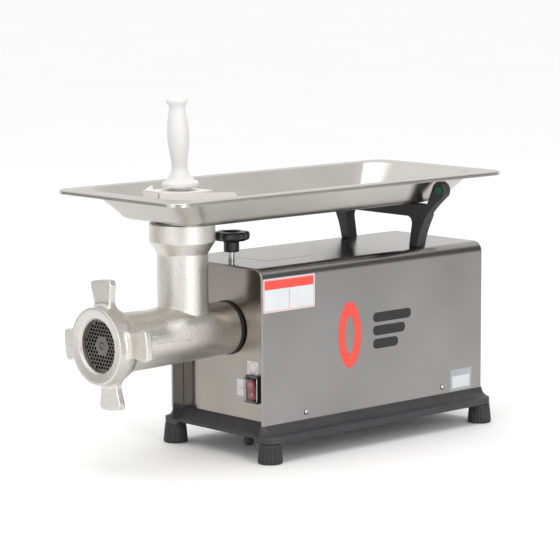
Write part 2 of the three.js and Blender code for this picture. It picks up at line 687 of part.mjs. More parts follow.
function addGearbox() {
  add('gearbox_cover', gearboxCover(), ALUMINIUM);
  add('gearbox_body', gearboxBody(), ALUMINIUM);
  addOnAxis('drive_shaft', driveShaft(), BRIGHT_STEEL);
  addOnAxis('drive_bearing_front', tube(26, 12.6, 58, 73, 14), BRIGHT_STEEL);
  addOnAxis('drive_bearing_rear', tube(16, 8.6, 128.5, 139.5, 12), BRIGHT_STEEL);
  addOnAxis('shaft_seal', tube(26.4, 12.7, 52.4, 57.4, 14), RUBBER);
  const idlerShaft = turned([
    [0, 71], [6, 71], [6, 80], [9, 80], [9, 126], [6, 126], [6, 138], [0, 138],
  ], 12);
  addOnAxis('idler_shaft', idlerShaft, BRIGHT_STEEL, IDLER.x, IDLER.z);
  addOnAxis('idler_bearing_front', tube(12, 6.3, 71.2, 79, 12), BRIGHT_STEEL, IDLER.x, IDLER.z);
  addOnAxis('idler_bearing_rear', tube(12, 6.3, 129, 139, 12), BRIGHT_STEEL, IDLER.x, IDLER.z);
}

// ---------------------------------------------------------------- motor and electrics
// An end bell: a turned cap with a pocket for the bearing, open round the shaft.
function motorBell() {
  const [pocketR, shaftR] = [around(BEARING.r + GAP, 18), 10];
  const { r, front, bellRear } = MOTOR;
  return turned([
    [shaftR, front], [r - 4, front], [r, front + 3], [r, bellRear], [pocketR, bellRear],
    [pocketR, BEARING.front - 0.4], [shaftR, BEARING.front - 0.5], [shaftR, front],
  ], 18);
}

// The rear bell is the front one turned end for end about the middle of the housing.
function turnEndForEnd(body) {
  const geometry = geometryOf(body);
  geometry.translate(0, -MOTOR.middle, 0);
  geometry.rotateX(Math.PI);
  geometry.translate(0, MOTOR.middle, 0);
  return solid(geometry);
}

function motorStator() {
  return turned([
    [34, 172], [38, 163], [54, 163], [57, 172], [60, 172], [60, 245], [57, 245], [54, 254],
    [38, 254], [34, 245], [34, 172],
  ], 18);
}

function motorFan() {
  const { blades, r, hubR, front, rear } = FAN;
  const parts = [rod(hubR, front, rear, 14), rod(r, front, front + 2, 14)];
  for (let i = 0; i < blades; i += 1) {
    const blade = block(hubR - 2, r, front + 1, rear, -1.2, 1.2);
    parts.push(turnAboutY(blade, i * Math.PI * 2 / blades, 0));
  }
  return cut(join(...parts), rod(around(BEARING.bore, 14), front - 10, rear + 10, 14));
}

function motorCradle() {
  const saddle = block(-46, 46, 178, 240, CHASSIS.top + GAP, 112);
  return cut(saddle, moved(rod(around(MOTOR.r + GAP, 24), 170, 250, 24), 0, 0, MOTOR.z));
}

function addMotor() {
  const onMotor = (name, body, material) => addOnAxis(name, body, material, 0, MOTOR.z);
  const { r, boreR, bellRear, middle } = MOTOR;
  const housing = tube(r, boreR, bellRear + GAP, 2 * middle - bellRear - GAP, 16);
  const bearing = tube(BEARING.r, BEARING.bore, BEARING.front, bellRear, 12);
  onMotor('motor_front_bell', motorBell(), ALUMINIUM);
  onMotor('motor_rear_bell', turnEndForEnd(motorBell()), ALUMINIUM);
  onMotor('motor_housing', housing, STAINLESS);
  onMotor('motor_stator', motorStator(), LAMINATION);
  onMotor('motor_rotor', tube(33, 8.8, 172, 245, 12), LAMINATION);
  const shaft = turned([
    [0, 108], [6, 108], [6, 128], [7, 128], [7, 160], [8.5, 160], [8.5, 256], [7, 256],
    [7, FAN.rear + 3], [0, FAN.rear + 3],
  ], 12);
  onMotor('motor_shaft', shaft, BRIGHT_STEEL);
  onMotor('motor_bearing_front', bearing, BRIGHT_STEEL);
  onMotor('motor_bearing_rear', turnEndForEnd(bearing), BRIGHT_STEEL);
  onMotor('motor_fan', motorFan(), BLACK_PLASTIC);
  add('motor_cradle', motorCradle(), IRON);
}

function addElectrics() {
  addOnAxis('run_capacitor', turned([
    [0, 190], [18, 190], [20, 192], [20, 268], [8, 268], [8, 276], [0, 276],
  ], 20), ALUMINIUM, 71, 66.5);
  const strip = block(30, 78, 330, 352, CHASSIS.top + GAP, 60);
  const wells = [0, 1, 2, 3].map((i) => rodUp(3.4, 50, 70, 36 + i * 12, 341, 8));
  add('terminal_block', cut(strip, ...wells), WHITE_PLASTIC);
}

// ---------------------------------------------------------------- clamp knob and stud
function clampKnob() {
  const sides = 30;
  const levels = [
    [0.86, 0, 0], [1, 2.6, 0], [1, 7.2, 0], [0.93, 9.6, 0], [0.84, 10.1, 0], [0.7, 7.4, 1],
    [0.3, 6.2, 1],
  ];
  const rings = levels.map(([scale, rise, inner]) => {
    const ring = [];
    for (let i = 0; i < sides; i += 1) {
      const angle = (i / sides) * Math.PI * 2;
      const lobe = Math.abs(Math.cos(angle * KNOB.lobes / 2)) ** 0.7;
      const r = scale * (KNOB.lobeR - (inner ? 4 : 4.5 * (1 - lobe)));
      ring.push([r * Math.cos(angle), KNOB.y + r * Math.sin(angle), KNOB.discBottom + rise]);
    }
    return ring;
  });
  const hub = rodUp(KNOB.hubR, KNOB.hubBottom, KNOB.discBottom + 2, 0, KNOB.y, 24);
  const bore = rodUp(around(STUD.r + GAP, 16), 270, STUD.top + GAP, 0, KNOB.y, 16);
  return cut(join(skin(rings), hub), bore);
}

function addClamp() {
  add('clamp_knob', clampKnob(), BLACK_PLASTIC);
  add('clamp_stud', turnedUp([
    [0, STUD.tip], [2.6, STUD.tip], [STUD.r, STUD.tip + 2.4], [STUD.r, STUD.top], [0, STUD.top],
  ], 0, KNOB.y, 16), BRIGHT_STEEL);
}

// ---------------------------------------------------------------- switch
function switchBody() {
  const { x, z, wide, high, front } = SWITCH;
  const [halfX, halfZ] = [wide / 2, high / 2];
  const bezel = block(x - halfX, x + halfX, front, PANEL.front - GAP, z - halfZ, z + halfZ);
  const barrel = block(x - 11, x + 11, PANEL.front - 1, 46, z - 16, z + 16);
  const well = block(x - ROCKER.wide / 2 - 0.6, x + ROCKER.wide / 2 + 0.6, front - 1, 31,
    z - ROCKER.high / 2 - 1.9, z + ROCKER.high / 2 + 1.9);
  return cut(join(bezel, barrel), well);
}

// The rocker in side view: its top end stands out, its bottom end is pressed in.
function switchRocker() {
  const { x, z, front } = SWITCH;
  const half = ROCKER.high / 2;
  const shape = shapeOf([
    [ROCKER.pivotY + 4, z - half + 3], [front + 1.4, z - half], [front + 0.6, z - 1],
    [front - 2.6, z + half], [ROCKER.pivotY + 4, z + half - 3],
  ]);
  return alongX(shape, x - ROCKER.wide / 2, x + ROCKER.wide / 2);
}

// The boot is a thin cap, open towards the rocker.
function bootShell() {
  const { x, z, wide, high, front, proud } = SWITCH;
  const ring = (inset, y) => {
    const flat = roundedRing(wide / 2 - inset, -high / 2 + inset, high / 2 - inset, 3, 0, 3);
    return flat.map(([u, v]) => [x + u, y, z + v]);
  };
  const outside = skin([
    ring(0.2, front - GAP), ring(0.8, front - GAP - 1.2), ring(2.8, front - proud + 0.8),
    ring(3.6, front - proud),
  ]);
  const inside = skin([
    ring(1.4, front + 1), ring(1.7, front - GAP - 1.2), ring(3.6, front - proud + 1.4),
    ring(4.2, front - proud + 1),
  ]);
  return cut(outside, inside);
}

function addSwitch() {
  add('switch_body', switchBody(), BLACK_PLASTIC);
  add('switch_rocker', switchRocker(), RED_PLASTIC);
  add('switch_boot', bootShell(), CLEAR_PLASTIC);
}

// ---------------------------------------------------------------- tray, guard and plunger
// Levels of the upper surface: half width, half length, corner radius and height.
function trayLevels() {
  const { halfX, halfY, top, floor, lip } = TRAY;
  return [
    [70, 232, 22, floor],
    [78, 240, 27, floor + 1],
    [84.5, 246.5, 32, floor + 4.3],
    [89, 251, 35, floor + 10],
    [110, 283, 44, top - 1.8],
    [112, 285.5, 46, top],
    [halfX - 1.5, halfY - 1.5, 23, top],
    [halfX, halfY, 24, top - 1.5],
    [halfX, halfY, 24, top - lip],
  ];
}

function trayRing([halfX, halfY, radius, z]) {
  const middle = TRAY_REAR_Y - TRAY.halfY;
  return roundedRing(halfX, middle - halfY, middle + halfY, radius, z, 4);
}

// The underside runs one sheet thickness below and outside the wall, and inside the lip.
function trayUnderside(levels) {
  const shift = [
    [0, -1], [0.15, -1], [0.5, -0.85], [0.85, -0.5], [0.85, -0.5], [0, -1],
    [-0.4, -1], [-1, -0.5], [-1, 0],
  ];
  return levels.map(([halfX, halfY, radius, z], i) => {
    const [outward, upward] = shift[i];
    return [halfX + outward * SHEET, halfY + outward * SHEET, radius, z + upward * SHEET];
  });
}

function tray() {
  const levels = trayLevels();
  const under = trayUnderside(levels).reverse();
  const pan = skin([...levels, ...under].map(trayRing));
  const throatR = around(NECK.boreR, NECK.sides);
  return cut(pan, rodUp(throatR, 300, 350, 0, THROAT_Y, NECK.sides));
}

// A short ring under the pan's throat, which drops into the head's collar.
function trayNeck() {
  const throatR = around(NECK.boreR, NECK.sides);
  const seat = TRAY.floor - SHEET - GAP;
  return turnedUp([
    [throatR, NECK.bottom], [NECK.r, NECK.bottom], [NECK.r, seat], [throatR, seat],
    [throatR, NECK.bottom],
  ], 0, THROAT_Y, NECK.sides);
}

function throatGuard() {
  const { halfX, front, rear, top, fenceFront, fenceRear } = GUARD;
  const floor = TRAY.floor + GAP;
  const nearFence = new THREE.Shape();
  nearFence.moveTo(-97, floor + 0.6);
  nearFence.lineTo(-90, floor);
  nearFence.lineTo(fenceRear, floor);
  nearFence.lineTo(fenceRear, 361.6);
  nearFence.quadraticCurveTo(fenceRear, 367.4, fenceRear - 6, 368);
  nearFence.lineTo(fenceFront, 377);
  nearFence.lineTo(fenceFront, 357);
  const farFence = shapeOf([
    [front, floor + 0.6], [-90, floor], [fenceRear - 3, floor], [fenceRear - 3, 366],
    [rear, top], [front + 15, top], [front + 15, 379.4], [front + 13, 379.8], [front - 1.5, 373],
  ]);
  const plate = block(-halfX - SHEET, halfX + SHEET, front, rear, top - SHEET, top);
  const frontFlap = block(0.5, halfX + SHEET, fenceFront, fenceFront + SHEET, 357, 377);
  return cut(
    join(
      alongX(nearFence, halfX, halfX + SHEET),
      alongX(farFence, -halfX - SHEET, -halfX),
      plate,
      frontFlap,
    ),
    rodUp(around(PLUNGER.shaftR + 1.1, 20), 360, 376, 0, PLUNGER.seatY, 20),
  );
}

// A turned plastic pusher: shaft, boss, flange, waisted grip and rounded cap.
function plunger() {
  const { height, shaft, shaftR, seatY, seatZ } = PLUNGER;
  const grip = [
    [25.3, 6], [25.3, 9], [18.5, 13], [14, 19.5], [10.6, 28], [11.2, 38], [14.2, 60],
    [15, 73], [14.2, 87], [10.9, 110], [14.4, 118.4], [14.5, height - 3.2], [11, height],
  ];
  const profile = [
    [0, -shaft], [shaftR - 2, -shaft], [shaftR, 2 - shaft], [shaftR, 0], [15, 0], [15, 4.3],
    [24, 4.3], ...grip, [0, height],
  ];
  const points = profile.map(([r, y]) => new THREE.Vector2(r, y));
  const geometry = new THREE.LatheGeometry(points, 16);
  geometry.applyMatrix4(UP);
  geometry.rotateX(THREE.MathUtils.degToRad(PLUNGER.lean));
  geometry.translate(0, seatY, seatZ);
  return solid(geometry);
}

function addTray() {
  add('tray', tray(), STAINLESS);
  add('tray_neck', trayNeck(), STAINLESS);
  add('throat_guard', throatGuard(), STAINLESS);
  add('plunger', plunger(), WHITE_PLASTIC);
}

// ---------------------------------------------------------------- tray bracket
function bracketHalf(withArm) {
  const [bossX, bossZ] = BRACKET.boss;
  const floor = COVER.top + GAP;
  const shape = new THREE.Shape();
  shape.moveTo(62, floor);
  shape.lineTo(79, floor);
  shape.quadraticCurveTo(82.5, 289, 93, 308);
  if (withArm) {
    shape.quadraticCurveTo(101.5, 323.5, bossX + 10.2, bossZ - 7.7);
    shape.absarc(bossX, bossZ, BRACKET.bossR, -0.65, Math.PI - 0.45);
    shape.lineTo(97, 331);
  } else {
    shape.lineTo(97, 316);
    shape.lineTo(85, 331);
  }
  shape.lineTo(-2, 331);
  shape.lineTo(-2, 312.5);
  shape.lineTo(58, 312.5);
  shape.quadraticCurveTo(67.6, 311.5, 67.4, 301);
  return shape;
}

function trayBracket() {
  const { front, legDepth, armDepth, boss } = BRACKET;
  const right = join(
    alongY(bracketHalf(true), front, front + armDepth),
    alongY(bracketHalf(false), front, front + legDepth),
  );
  const plugHole = (x) => moved(rod(around(6.3, 16), front - 5, front + 4, 16), x, 0, boss[1]);
  return cut(join(right, mirrored(right)), plugHole(boss[0]), plugHole(-boss[0]));
}

function addBracket() {
  const { front, boss } = BRACKET;
  add('tray_bracket', trayBracket(), BLACK_CASTING);
  const plug = rod(6, front - 0.3, front + 3.6, 16);
  addOnAxis('bracket_plug_right', plug, GREEN_PLASTIC, boss[0], boss[1]);
  addOnAxis('bracket_plug_left', plug, GREEN_PLASTIC, -boss[0], boss[1]);
}

addBase();
addHousing();
addHead();
addGearbox();
addGears();
addMotor();
addElectrics();
addClamp();
addSwitch();
addTray();
addBracket();

grinder.position.y = -(RING_FRONT_Y + TRAY_REAR_Y) / 2;

export default grinder;
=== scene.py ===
"""Electric meat grinder: fine pieces, materials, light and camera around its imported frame."""

import math

import bmesh
import bpy
import numpy as np
from mathutils import Matrix, Vector


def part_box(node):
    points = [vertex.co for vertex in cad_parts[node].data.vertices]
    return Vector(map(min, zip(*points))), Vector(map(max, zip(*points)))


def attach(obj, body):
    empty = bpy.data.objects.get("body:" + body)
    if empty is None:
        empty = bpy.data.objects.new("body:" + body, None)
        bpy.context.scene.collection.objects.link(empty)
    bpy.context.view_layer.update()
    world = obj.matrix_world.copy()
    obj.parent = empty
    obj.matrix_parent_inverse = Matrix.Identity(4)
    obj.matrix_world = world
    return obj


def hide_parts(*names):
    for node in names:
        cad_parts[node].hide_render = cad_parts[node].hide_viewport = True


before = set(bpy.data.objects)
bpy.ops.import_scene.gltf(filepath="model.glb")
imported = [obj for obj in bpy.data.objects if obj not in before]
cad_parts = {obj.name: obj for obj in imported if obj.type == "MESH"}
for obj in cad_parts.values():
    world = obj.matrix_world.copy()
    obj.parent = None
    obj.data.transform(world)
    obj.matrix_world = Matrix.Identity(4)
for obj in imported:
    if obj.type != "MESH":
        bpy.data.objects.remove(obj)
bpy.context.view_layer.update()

# ---------------------------------------------------------------- driving dimensions
# Shapes are drawn in millimetres with Y measured from the front edge of the housing cover.
MM = 0.001
FRONT_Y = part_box("housing_cover")[0].y / MM
SHEET = 1.5

AXIS_Z = 175.4
THROAT_Y = -58.0
RING_FRONT_Y = -211.0

COVER = {"half_x": 96.6, "rear": 435.4, "bottom": 51.3, "top": 268.2, "fold": 15.0, "hem": 3.0}
PANEL = {"front": 22.0, "rear": 429.0, "half_x": 94.6, "bottom": 51.3, "top": 266.0, "fold": 13.0}
HEAD_HOLE_R = 28.6
STUD_HOLE_R = 5.6
LOUVRE = {"half_x": 56.0, "first": 120.0, "pitch": 13.0, "rows": 9}
SCREW_Z = 61.3
SCREWS = {"front": 82.4, "rear": 354.0}

BASE = {"half_x": 115.0, "front": -3.5, "rear": 443.2, "bottom": 28.0, "top": 51.0}
HOLLOW = {"half_x": 91.5, "foot_half_x": 84.0, "front": 24.5, "foot_front": 19.3, "rear": 416.8,
          "corner": 6.0}
FOOT = {"x": 100.5, "front": 11.0, "rear": 428.7, "r": 17.3}
GLAND = (31.5, 33.5)

COLLAR = {"bore": 36.2, "step": 309.0}
LUG = {"middle": -189.8, "half": 5.2, "turn": 5.8}
PLATE = {"r": 41.0, "front": -200.0, "rear": -191.0, "hole_r": 2.25, "pitch": 5.7, "to": 34.0}
WORM = {"r": 30.2, "core": 15.0, "front": -181.6, "rear": -12.9, "pitch": 46.0}

TRAY = {"half_x": 131.0, "half_y": 315.0, "rear": 451.0, "floor": 333.5}
NECK = {"bore": 33.8, "bottom": 311.0}
GUARD = {"half_x": 31.0, "front": -98.0, "rear": -31.0, "top": 374.0}
LABEL = {"gap": 0.02, "layer": 0.12, "thick": 0.14}
PLUNGER = {"lean": 2.4, "seat": (0.0, -60.6, 375.0), "height": 125.2, "shaft": 130.0, "shaft_r": 12.6}

KNOB_Y = 31.0
KNOB = {"lobe_at": 17.0, "lobe_r": 9.0, "disc_r": 21.0, "hub_r": 10.9, "bottom": 281.0, "top": 309.4}
STUD = {"bottom": 203.2, "thread_top": 262.0, "top": 290.0, "r": 4.2, "pitch": 1.5}
SWITCH = {"x": 57.6, "z": 95.8, "wide": 25.5, "high": 38.4, "front": 14.7, "proud": 6.5,
          "body_x": 11.0, "body_z": 16.0}
ROCKER = {"wide": 16.8, "high": 26.4, "pivot_y": 20.5}
BRACKET = {"front": 318.0, "leg": 17.4, "arm": 12.7, "boss": (120.4, 353.7), "boss_r": 12.7}


# ---------------------------------------------------------------- outlines
def oval(u, v, half_u, half_v, count=32):
    angles = [2 * math.pi * i / count for i in range(count)]
    return [(u + half_u * math.cos(a), v + half_v * math.sin(a)) for a in angles]


def circle(u, v, radius, count=32):
    return oval(u, v, radius, radius, count)


def arc(u, v, radius, start, end, count=8):
    """Points on an arc, angles in degrees, both ends included."""
    angles = [math.radians(start + (end - start) * i / count) for i in range(count + 1)]
    return [(u + radius * math.cos(a), v + radius * math.sin(a)) for a in angles]


def rounded_rect(u0, u1, v0, v1, radius, count=8):
    return (arc(u1 - radius, v1 - radius, radius, 0, 90, count)
            + arc(u0 + radius, v1 - radius, radius, 90, 180, count)
            + arc(u0 + radius, v0 + radius, radius, 180, 270, count)
            + arc(u1 - radius, v0 + radius, radius, 270, 360, count))


def curve_to(start, control, end, count=8):
    """A quadratic curve's points after its start."""
    steps = [i / count for i in range(1, count + 1)]
    return [tuple((1 - t) ** 2 * a + 2 * t * (1 - t) * b + t * t * c
                  for a, b, c in zip(start, control, end)) for t in steps]


def rounded(points, radius, count=5):
    """An open line of (u, v[, radius]) points with its inner corners rounded."""
    out = [tuple(points[0][:2])]
    for before, here, after in zip(points, points[1:], points[2:]):
        own = here[2] if len(here) > 2 else radius
        p, a, b = (Vector(q[:2]) for q in (here, before, after))
        to_a, to_b = (a - p), (b - p)
        reach = min(own, 0.45 * to_a.length, 0.45 * to_b.length)
        if reach < 1e-3:
            out.append(tuple(p))
            continue
        start = p + to_a.normalized() * reach
        end = p + to_b.normalized() * reach
        out.append(tuple(start))
        out.extend(curve_to(tuple(start), tuple(p), tuple(end), count))
    out.append(tuple(points[-1][:2]))
    return out


def smooth_line(points, count=6):
    """A Catmull-Rom curve through the points."""
    ends = [points[0]] + list(points) + [points[-1]]
    out = []
    for a, b, c, d in zip(ends, ends[1:], ends[2:], ends[3:]):
        for i in range(count):
            t = i / count
            out.append(tuple(0.5 * (2 * q + (r - p) * t + (2 * p - 5 * q + 4 * r - s) * t * t
                                    + (3 * q - p - 3 * r + s) * t ** 3)
                             for p, q, r, s in zip(a, b, c, d)))
    out.append(tuple(points[-1]))
    return out


def round_ring(centre, radius_at, count, plane="XY"):
    """A ring of points round a centre, its radius a function of the angle."""
    x, y, z = centre
    ring = []
    for i in range(count):
        angle = 2 * math.pi * i / count
        r = radius_at(angle)
        u, v = r * math.cos(angle), r * math.sin(angle)
        ring.append((x + u, y + v, z) if plane == "XY" else (x + u, y, z + v))
    return ring


# ---------------------------------------------------------------- shapes: (points, faces)
def merge(*shapes):
    points, faces, count = [], [], 0
    for some_points, some_faces in shapes:
        points.append(np.asarray(some_points, float).reshape(-1, 3))
        faces.extend([tuple(i + count for i in face) for face in some_faces])
        count += len(some_points)
    return np.concatenate(points), faces


def moved(shape, x=0.0, y=0.0, z=0.0):
    return np.asarray(shape[0], float) + (x, y, z), shape[1]


def mirrored(shape):
    return np.asarray(shape[0], float) * (-1, 1, 1), [tuple(reversed(f)) for f in shape[1]]


def skin(rings, loop=False, caps=True):
    """A skin through rings of equal length: capped at its ends, or closed into a loop."""
    rings = np.asarray(rings, float)
    bands, count = len(rings), rings.shape[1]
    faces = []
    for band in range(bands if loop else bands - 1):
        low, high = band * count, ((band + 1) % bands) * count
        for i in range(count):
            j = (i + 1) % count
            faces.append((low + i, low + j, high + j, high + i))
    if caps and not loop:
        faces.append(tuple(reversed(range(count))))
        faces.append(tuple(range((bands - 1) * count, bands * count)))
    return rings.reshape(-1, 3), faces


PLACE = {
    "X": lambda r, c, s, a: (a, r * c, r * s),
    "Y": lambda r, c, s, a: (r * s, a, r * c),
    "Z": lambda r, c, s, a: (r * c, r * s, a),
}


def lathe(profile, axis, at=(0.0, 0.0, 0.0), count=64):
    """A profile of (radius, place along the axis), turned. It ends on the axis or closes."""
    points, rows = [], []
    for r, a in profile:
        if r < 1e-6:
            rows.append([len(points)] * count)
            points.append(PLACE[axis](0, 0, 0, a))
            continue
        rows.append(list(range(len(points), len(points) + count)))
        for i in range(count):
            angle = 2 * math.pi * i / count
            points.append(PLACE[axis](r, math.cos(angle), math.sin(angle), a))
    if profile[0][0] > 1e-6:
        rows.append(rows[0])
    faces = []
    for low, high in zip(rows, rows[1:]):
        for i in range(count):
            j = (i + 1) % count
            face = list(dict.fromkeys((low[i], low[j], high[j], high[i])))
            if len(face) > 2:
                faces.append(tuple(face))
    return np.asarray(points, float) + at, faces


def shape_of(mesh):
    points = np.zeros(len(mesh.vertices) * 3)
    mesh.vertices.foreach_get("co", points)
    return points.reshape(-1, 3), [tuple(p.vertices) for p in mesh.polygons]


def shape_from(solid):
    """The shape that a bmesh holds; the bmesh is freed."""
    mesh = bpy.data.meshes.new("work")
    solid.to_mesh(mesh)
    solid.free()
    made = shape_of(mesh)
    bpy.data.meshes.remove(mesh)
    return made


def new_object(name, data):
    made = bpy.data.objects.new(name, data)
    bpy.context.scene.collection.objects.link(made)
    return made


def plain_mesh(name, shape):
    mesh = bpy.data.meshes.new(name)
    mesh.from_pydata(np.asarray(shape[0], float).tolist(), [], shape[1])
    return mesh


def evaluated(piece):
    """The piece's shape with its modifiers applied; the piece itself is removed."""
    bpy.context.view_layer.update()
    depsgraph = bpy.context.evaluated_depsgraph_get()
    mesh = bpy.data.meshes.new_from_object(piece.evaluated_get(depsgraph))
    made = shape_of(mesh)
    bpy.data.objects.remove(piece)
    bpy.data.meshes.remove(mesh)
    return made


def plate(outline, holes, low, high, plane="XZ", bevel=0.3, steps=2):
    """A flat plate with holes, from low to high across its plane, its edges rounded."""
    bevel = min(bevel, (high - low) / 2 - 0.01)
    flat = bpy.data.curves.new("plate", "CURVE")
    flat.dimensions = "2D"
    flat.fill_mode = "BOTH"
    flat.extrude = (high - low) / 2 - bevel
    flat.bevel_depth = bevel
    flat.bevel_resolution = steps
    flat.offset = -bevel
    for line in [outline, *holes]:
        spline = flat.splines.new("POLY")
        spline.points.add(len(line) - 1)
        spline.use_cyclic_u = True
        spline.points.foreach_set("co", [c for u, v in line for c in (u, v, 0, 1)])
    points, faces = evaluated(new_object("plate", flat))
    u, v, w = points[:, 0], points[:, 1], points[:, 2] + (low + high) / 2
    order = {"XZ": (u, w, v), "YZ": (w, u, v), "XY": (u, v, w)}[plane]
    return np.stack(order, 1), faces


def soft_box(x, y, z, radius, steps=3):
    """A box from (low, high) pairs with every edge rounded."""
    solid = bmesh.new()
    bmesh.ops.create_cube(solid, size=1)
    for vertex in solid.verts:
        for i, (low, high) in enumerate((x, y, z)):
            vertex.co[i] = high if vertex.co[i] > 0 else low
    bmesh.ops.bevel(solid, geom=solid.edges[:], offset=radius, segments=steps, profile=0.5,
                    affect="EDGES")
    return shape_from(solid)


def carved(shape, *cutters):
    """The shape with the cutters' shapes taken away."""
    piece = new_object("carved", plain_mesh("carved", shape))
    tools = []
    for cutter in cutters:
        tool = new_object("cutter", plain_mesh("cutter", cutter))
        fix_normals(tool.data)
        change = piece.modifiers.new("cut", "BOOLEAN")
        change.operation = "DIFFERENCE"
        change.solver = "EXACT"
        change.object = tool
        tools.append(tool)
    fix_normals(piece.data)
    made = evaluated(piece)
    for tool in tools:
        bpy.data.objects.remove(tool)
    return made


def fix_normals(mesh):
    solid = bmesh.new()
    solid.from_mesh(mesh)
    bmesh.ops.remove_doubles(solid, verts=solid.verts, dist=1e-4)
    bmesh.ops.recalc_face_normals(solid, faces=solid.faces)
    solid.to_mesh(mesh)
    solid.free()


# ---------------------------------------------------------------- cast shapes from distance fields
def polygon_field(u, v, points):
    """Signed distance to a closed outline, negative inside."""
    nearest, inside = 1e9, False
    for (u0, v0), (u1, v1) in zip(points, points[1:] + points[:1]):
        eu, ev = u1 - u0, v1 - v0
        wu, wv = u - u0, v - v0
        t = np.clip((wu * eu + wv * ev) / (eu * eu + ev * ev), 0, 1)
        nearest = np.minimum(nearest, (wu - eu * t) ** 2 + (wv - ev * t) ** 2)
        if ev:
            inside = inside ^ (((v0 <= v) != (v1 <= v)) & (u < u0 + wv * eu / ev))
    return np.where(inside, -1, 1) * np.sqrt(nearest)


def rect_field(u, v, half_u, half_v, radius):
    across, along = abs(u) - half_u + radius, abs(v) - half_v + radius
    outside = np.hypot(np.maximum(across, 0), np.maximum(along, 0))
    return outside + np.minimum(np.maximum(across, along), 0) - radius


def blended(a, b, radius):
    """Both solids, with a fillet where they meet."""
    u, v = np.maximum(radius - a, 0), np.maximum(radius - b, 0)
    return np.maximum(radius, np.minimum(a, b)) - np.hypot(u, v)


def common(a, b, radius):
    """What both solids share, with a rounded edge."""
    u, v = np.maximum(radius + a, 0), np.maximum(radius + b, 0)
    return np.minimum(-radius, np.maximum(a, b)) + np.hypot(u, v)


def eased(value, start, end):
    """0 up to start, 1 from end on, with a smooth rise between."""
    t = np.clip((value - start) / (end - start), 0, 1)
    return t * t * (3 - 2 * t)


def cast(field, low, high, cell):
    """The surface of a distance field, as quads whose corners lie on it."""
    axes = [np.arange(a - cell, b + 2 * cell, cell) for a, b in zip(low, high)]
    size = [len(a) for a in axes]
    grid = np.meshgrid(*axes, indexing="ij", sparse=True)
    values = np.array(np.broadcast_to(field(*grid), size), float)
    inside = values < 0

    def corner(array, offset):
        return array[tuple(slice(o, n - 1 + o) for o, n in zip(offset, size))]

    total = sum(corner(inside, (i, j, k)).astype(int)
                for i in (0, 1) for j in (0, 1) for k in (0, 1))
    mixed = (total > 0) & (total < 8)
    cells = np.argwhere(mixed)
    number = np.full(mixed.shape, -1)
    number[mixed] = np.arange(len(cells))
    sums, counts = np.zeros((len(cells), 3)), np.zeros(len(cells))
    faces = []
    for axis in range(3):
        one, two = (axis + 1) % 3, (axis + 2) % 3
        for a in (0, 1):
            for b in (0, 1):
                start = np.zeros(3, int)
                start[one], start[two] = a, b
                end = start.copy()
                end[axis] = 1
                d0, d1 = corner(values, start)[mixed], corner(values, end)[mixed]
                crosses = (d0 < 0) != (d1 < 0)
                point = (cells + start).astype(float)
                point[:, axis] += d0 / np.where(crosses, d0 - d1, 1)
                sums += point * crosses[:, None]
                counts += crosses
        lower, upper = [slice(None)] * 3, [slice(None)] * 3
        lower[axis], upper[axis] = slice(0, -1), slice(1, None)
        here = inside[tuple(lower)]
        edges = np.argwhere(here != inside[tuple(upper)])
        step_one, step_two = np.eye(3, dtype=int)[one], np.eye(3, dtype=int)[two]
        quads = np.stack([number[tuple((edges - shift).T)] for shift in
                          (step_one + step_two, step_two, 0 * step_two, step_one)], 1)
        outward = here[tuple(edges.T)]
        faces.append(np.where(outward[:, None], quads, quads[:, ::-1]))
    points = np.array([a[0] for a in axes]) + sums / counts[:, None] * cell
    return settled(field, points, cell), [tuple(f) for f in np.concatenate(faces).tolist()]


def settled(field, points, cell):
    """Points moved onto the field's surface in a few small steps."""
    reach = 0.15 * cell
    for _ in range(3):
        value = field(*points.T)
        slope = np.stack([(field(*(points + shift).T) - field(*(points - shift).T)) / (2 * reach)
                          for shift in np.eye(3) * reach], 1)
        step = value / np.maximum((slope ** 2).sum(1), 0.2)
        points = points - np.clip(step, -0.4 * cell, 0.4 * cell)[:, None] * slope
    return points


# ---------------------------------------------------------------- pieces
def smooth(mesh, degrees):
    """Smooth faces, with an edge kept sharp where it turns by more than the angle."""
    solid = bmesh.new()
    solid.from_mesh(mesh)
    bmesh.ops.remove_doubles(solid, verts=solid.verts, dist=1e-7)
    bmesh.ops.recalc_face_normals(solid, faces=solid.faces)
    limit = math.radians(degrees)
    for face in solid.faces:
        face.smooth = True
    for edge in solid.edges:
        edge.smooth = len(edge.link_faces) == 2 and edge.calc_face_angle() < limit
    solid.to_mesh(mesh)
    solid.free()


def add(name, shape, finish, body, *nodes, sharp=40, flat_faces=True):
    """One piece of the model, in the row frame, riding on its body."""
    placed = (np.asarray(shape[0], float) + (0, FRONT_Y, 0)) * MM
    piece = new_object(name, plain_mesh(name, (placed, shape[1])))
    smooth(piece.data, sharp)
    piece.data.materials.append(FINISH[finish])
    if flat_faces:
        weighted = piece.modifiers.new("weighted_normals", "WEIGHTED_NORMAL")
        weighted.keep_sharp = True
    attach(piece, body)
    if nodes:
        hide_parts(*nodes)


def add_cast(name, field, low, high, cell, finish, body, node):
    """A casting: the surface of a distance field between two corners."""
    add(name, cast(field, low, high, cell), finish, body, node, sharp=80, flat_faces=False)


# ---------------------------------------------------------------- materials
def linear(*srgb):
    """Linear colour from 0..255 values."""
    levels = [c / 255 for c in srgb]
    return tuple(c / 12.92 if c <= 0.04045 else ((c + 0.055) / 1.055) ** 2.4 for c in levels) + (1,)


def new_material(name, colour, roughness, metallic=0.0, **sockets):
    material = bpy.data.materials.new(name)
    material.use_nodes = True
    shader = material.node_tree.nodes["Principled BSDF"]
    shader.inputs["Base Color"].default_value = linear(*colour)
    shader.inputs["Roughness"].default_value = roughness
    shader.inputs["Metallic"].default_value = metallic
    for socket, value in sockets.items():
        shader.inputs[socket.replace("_", " ")].default_value = value
    return material, shader


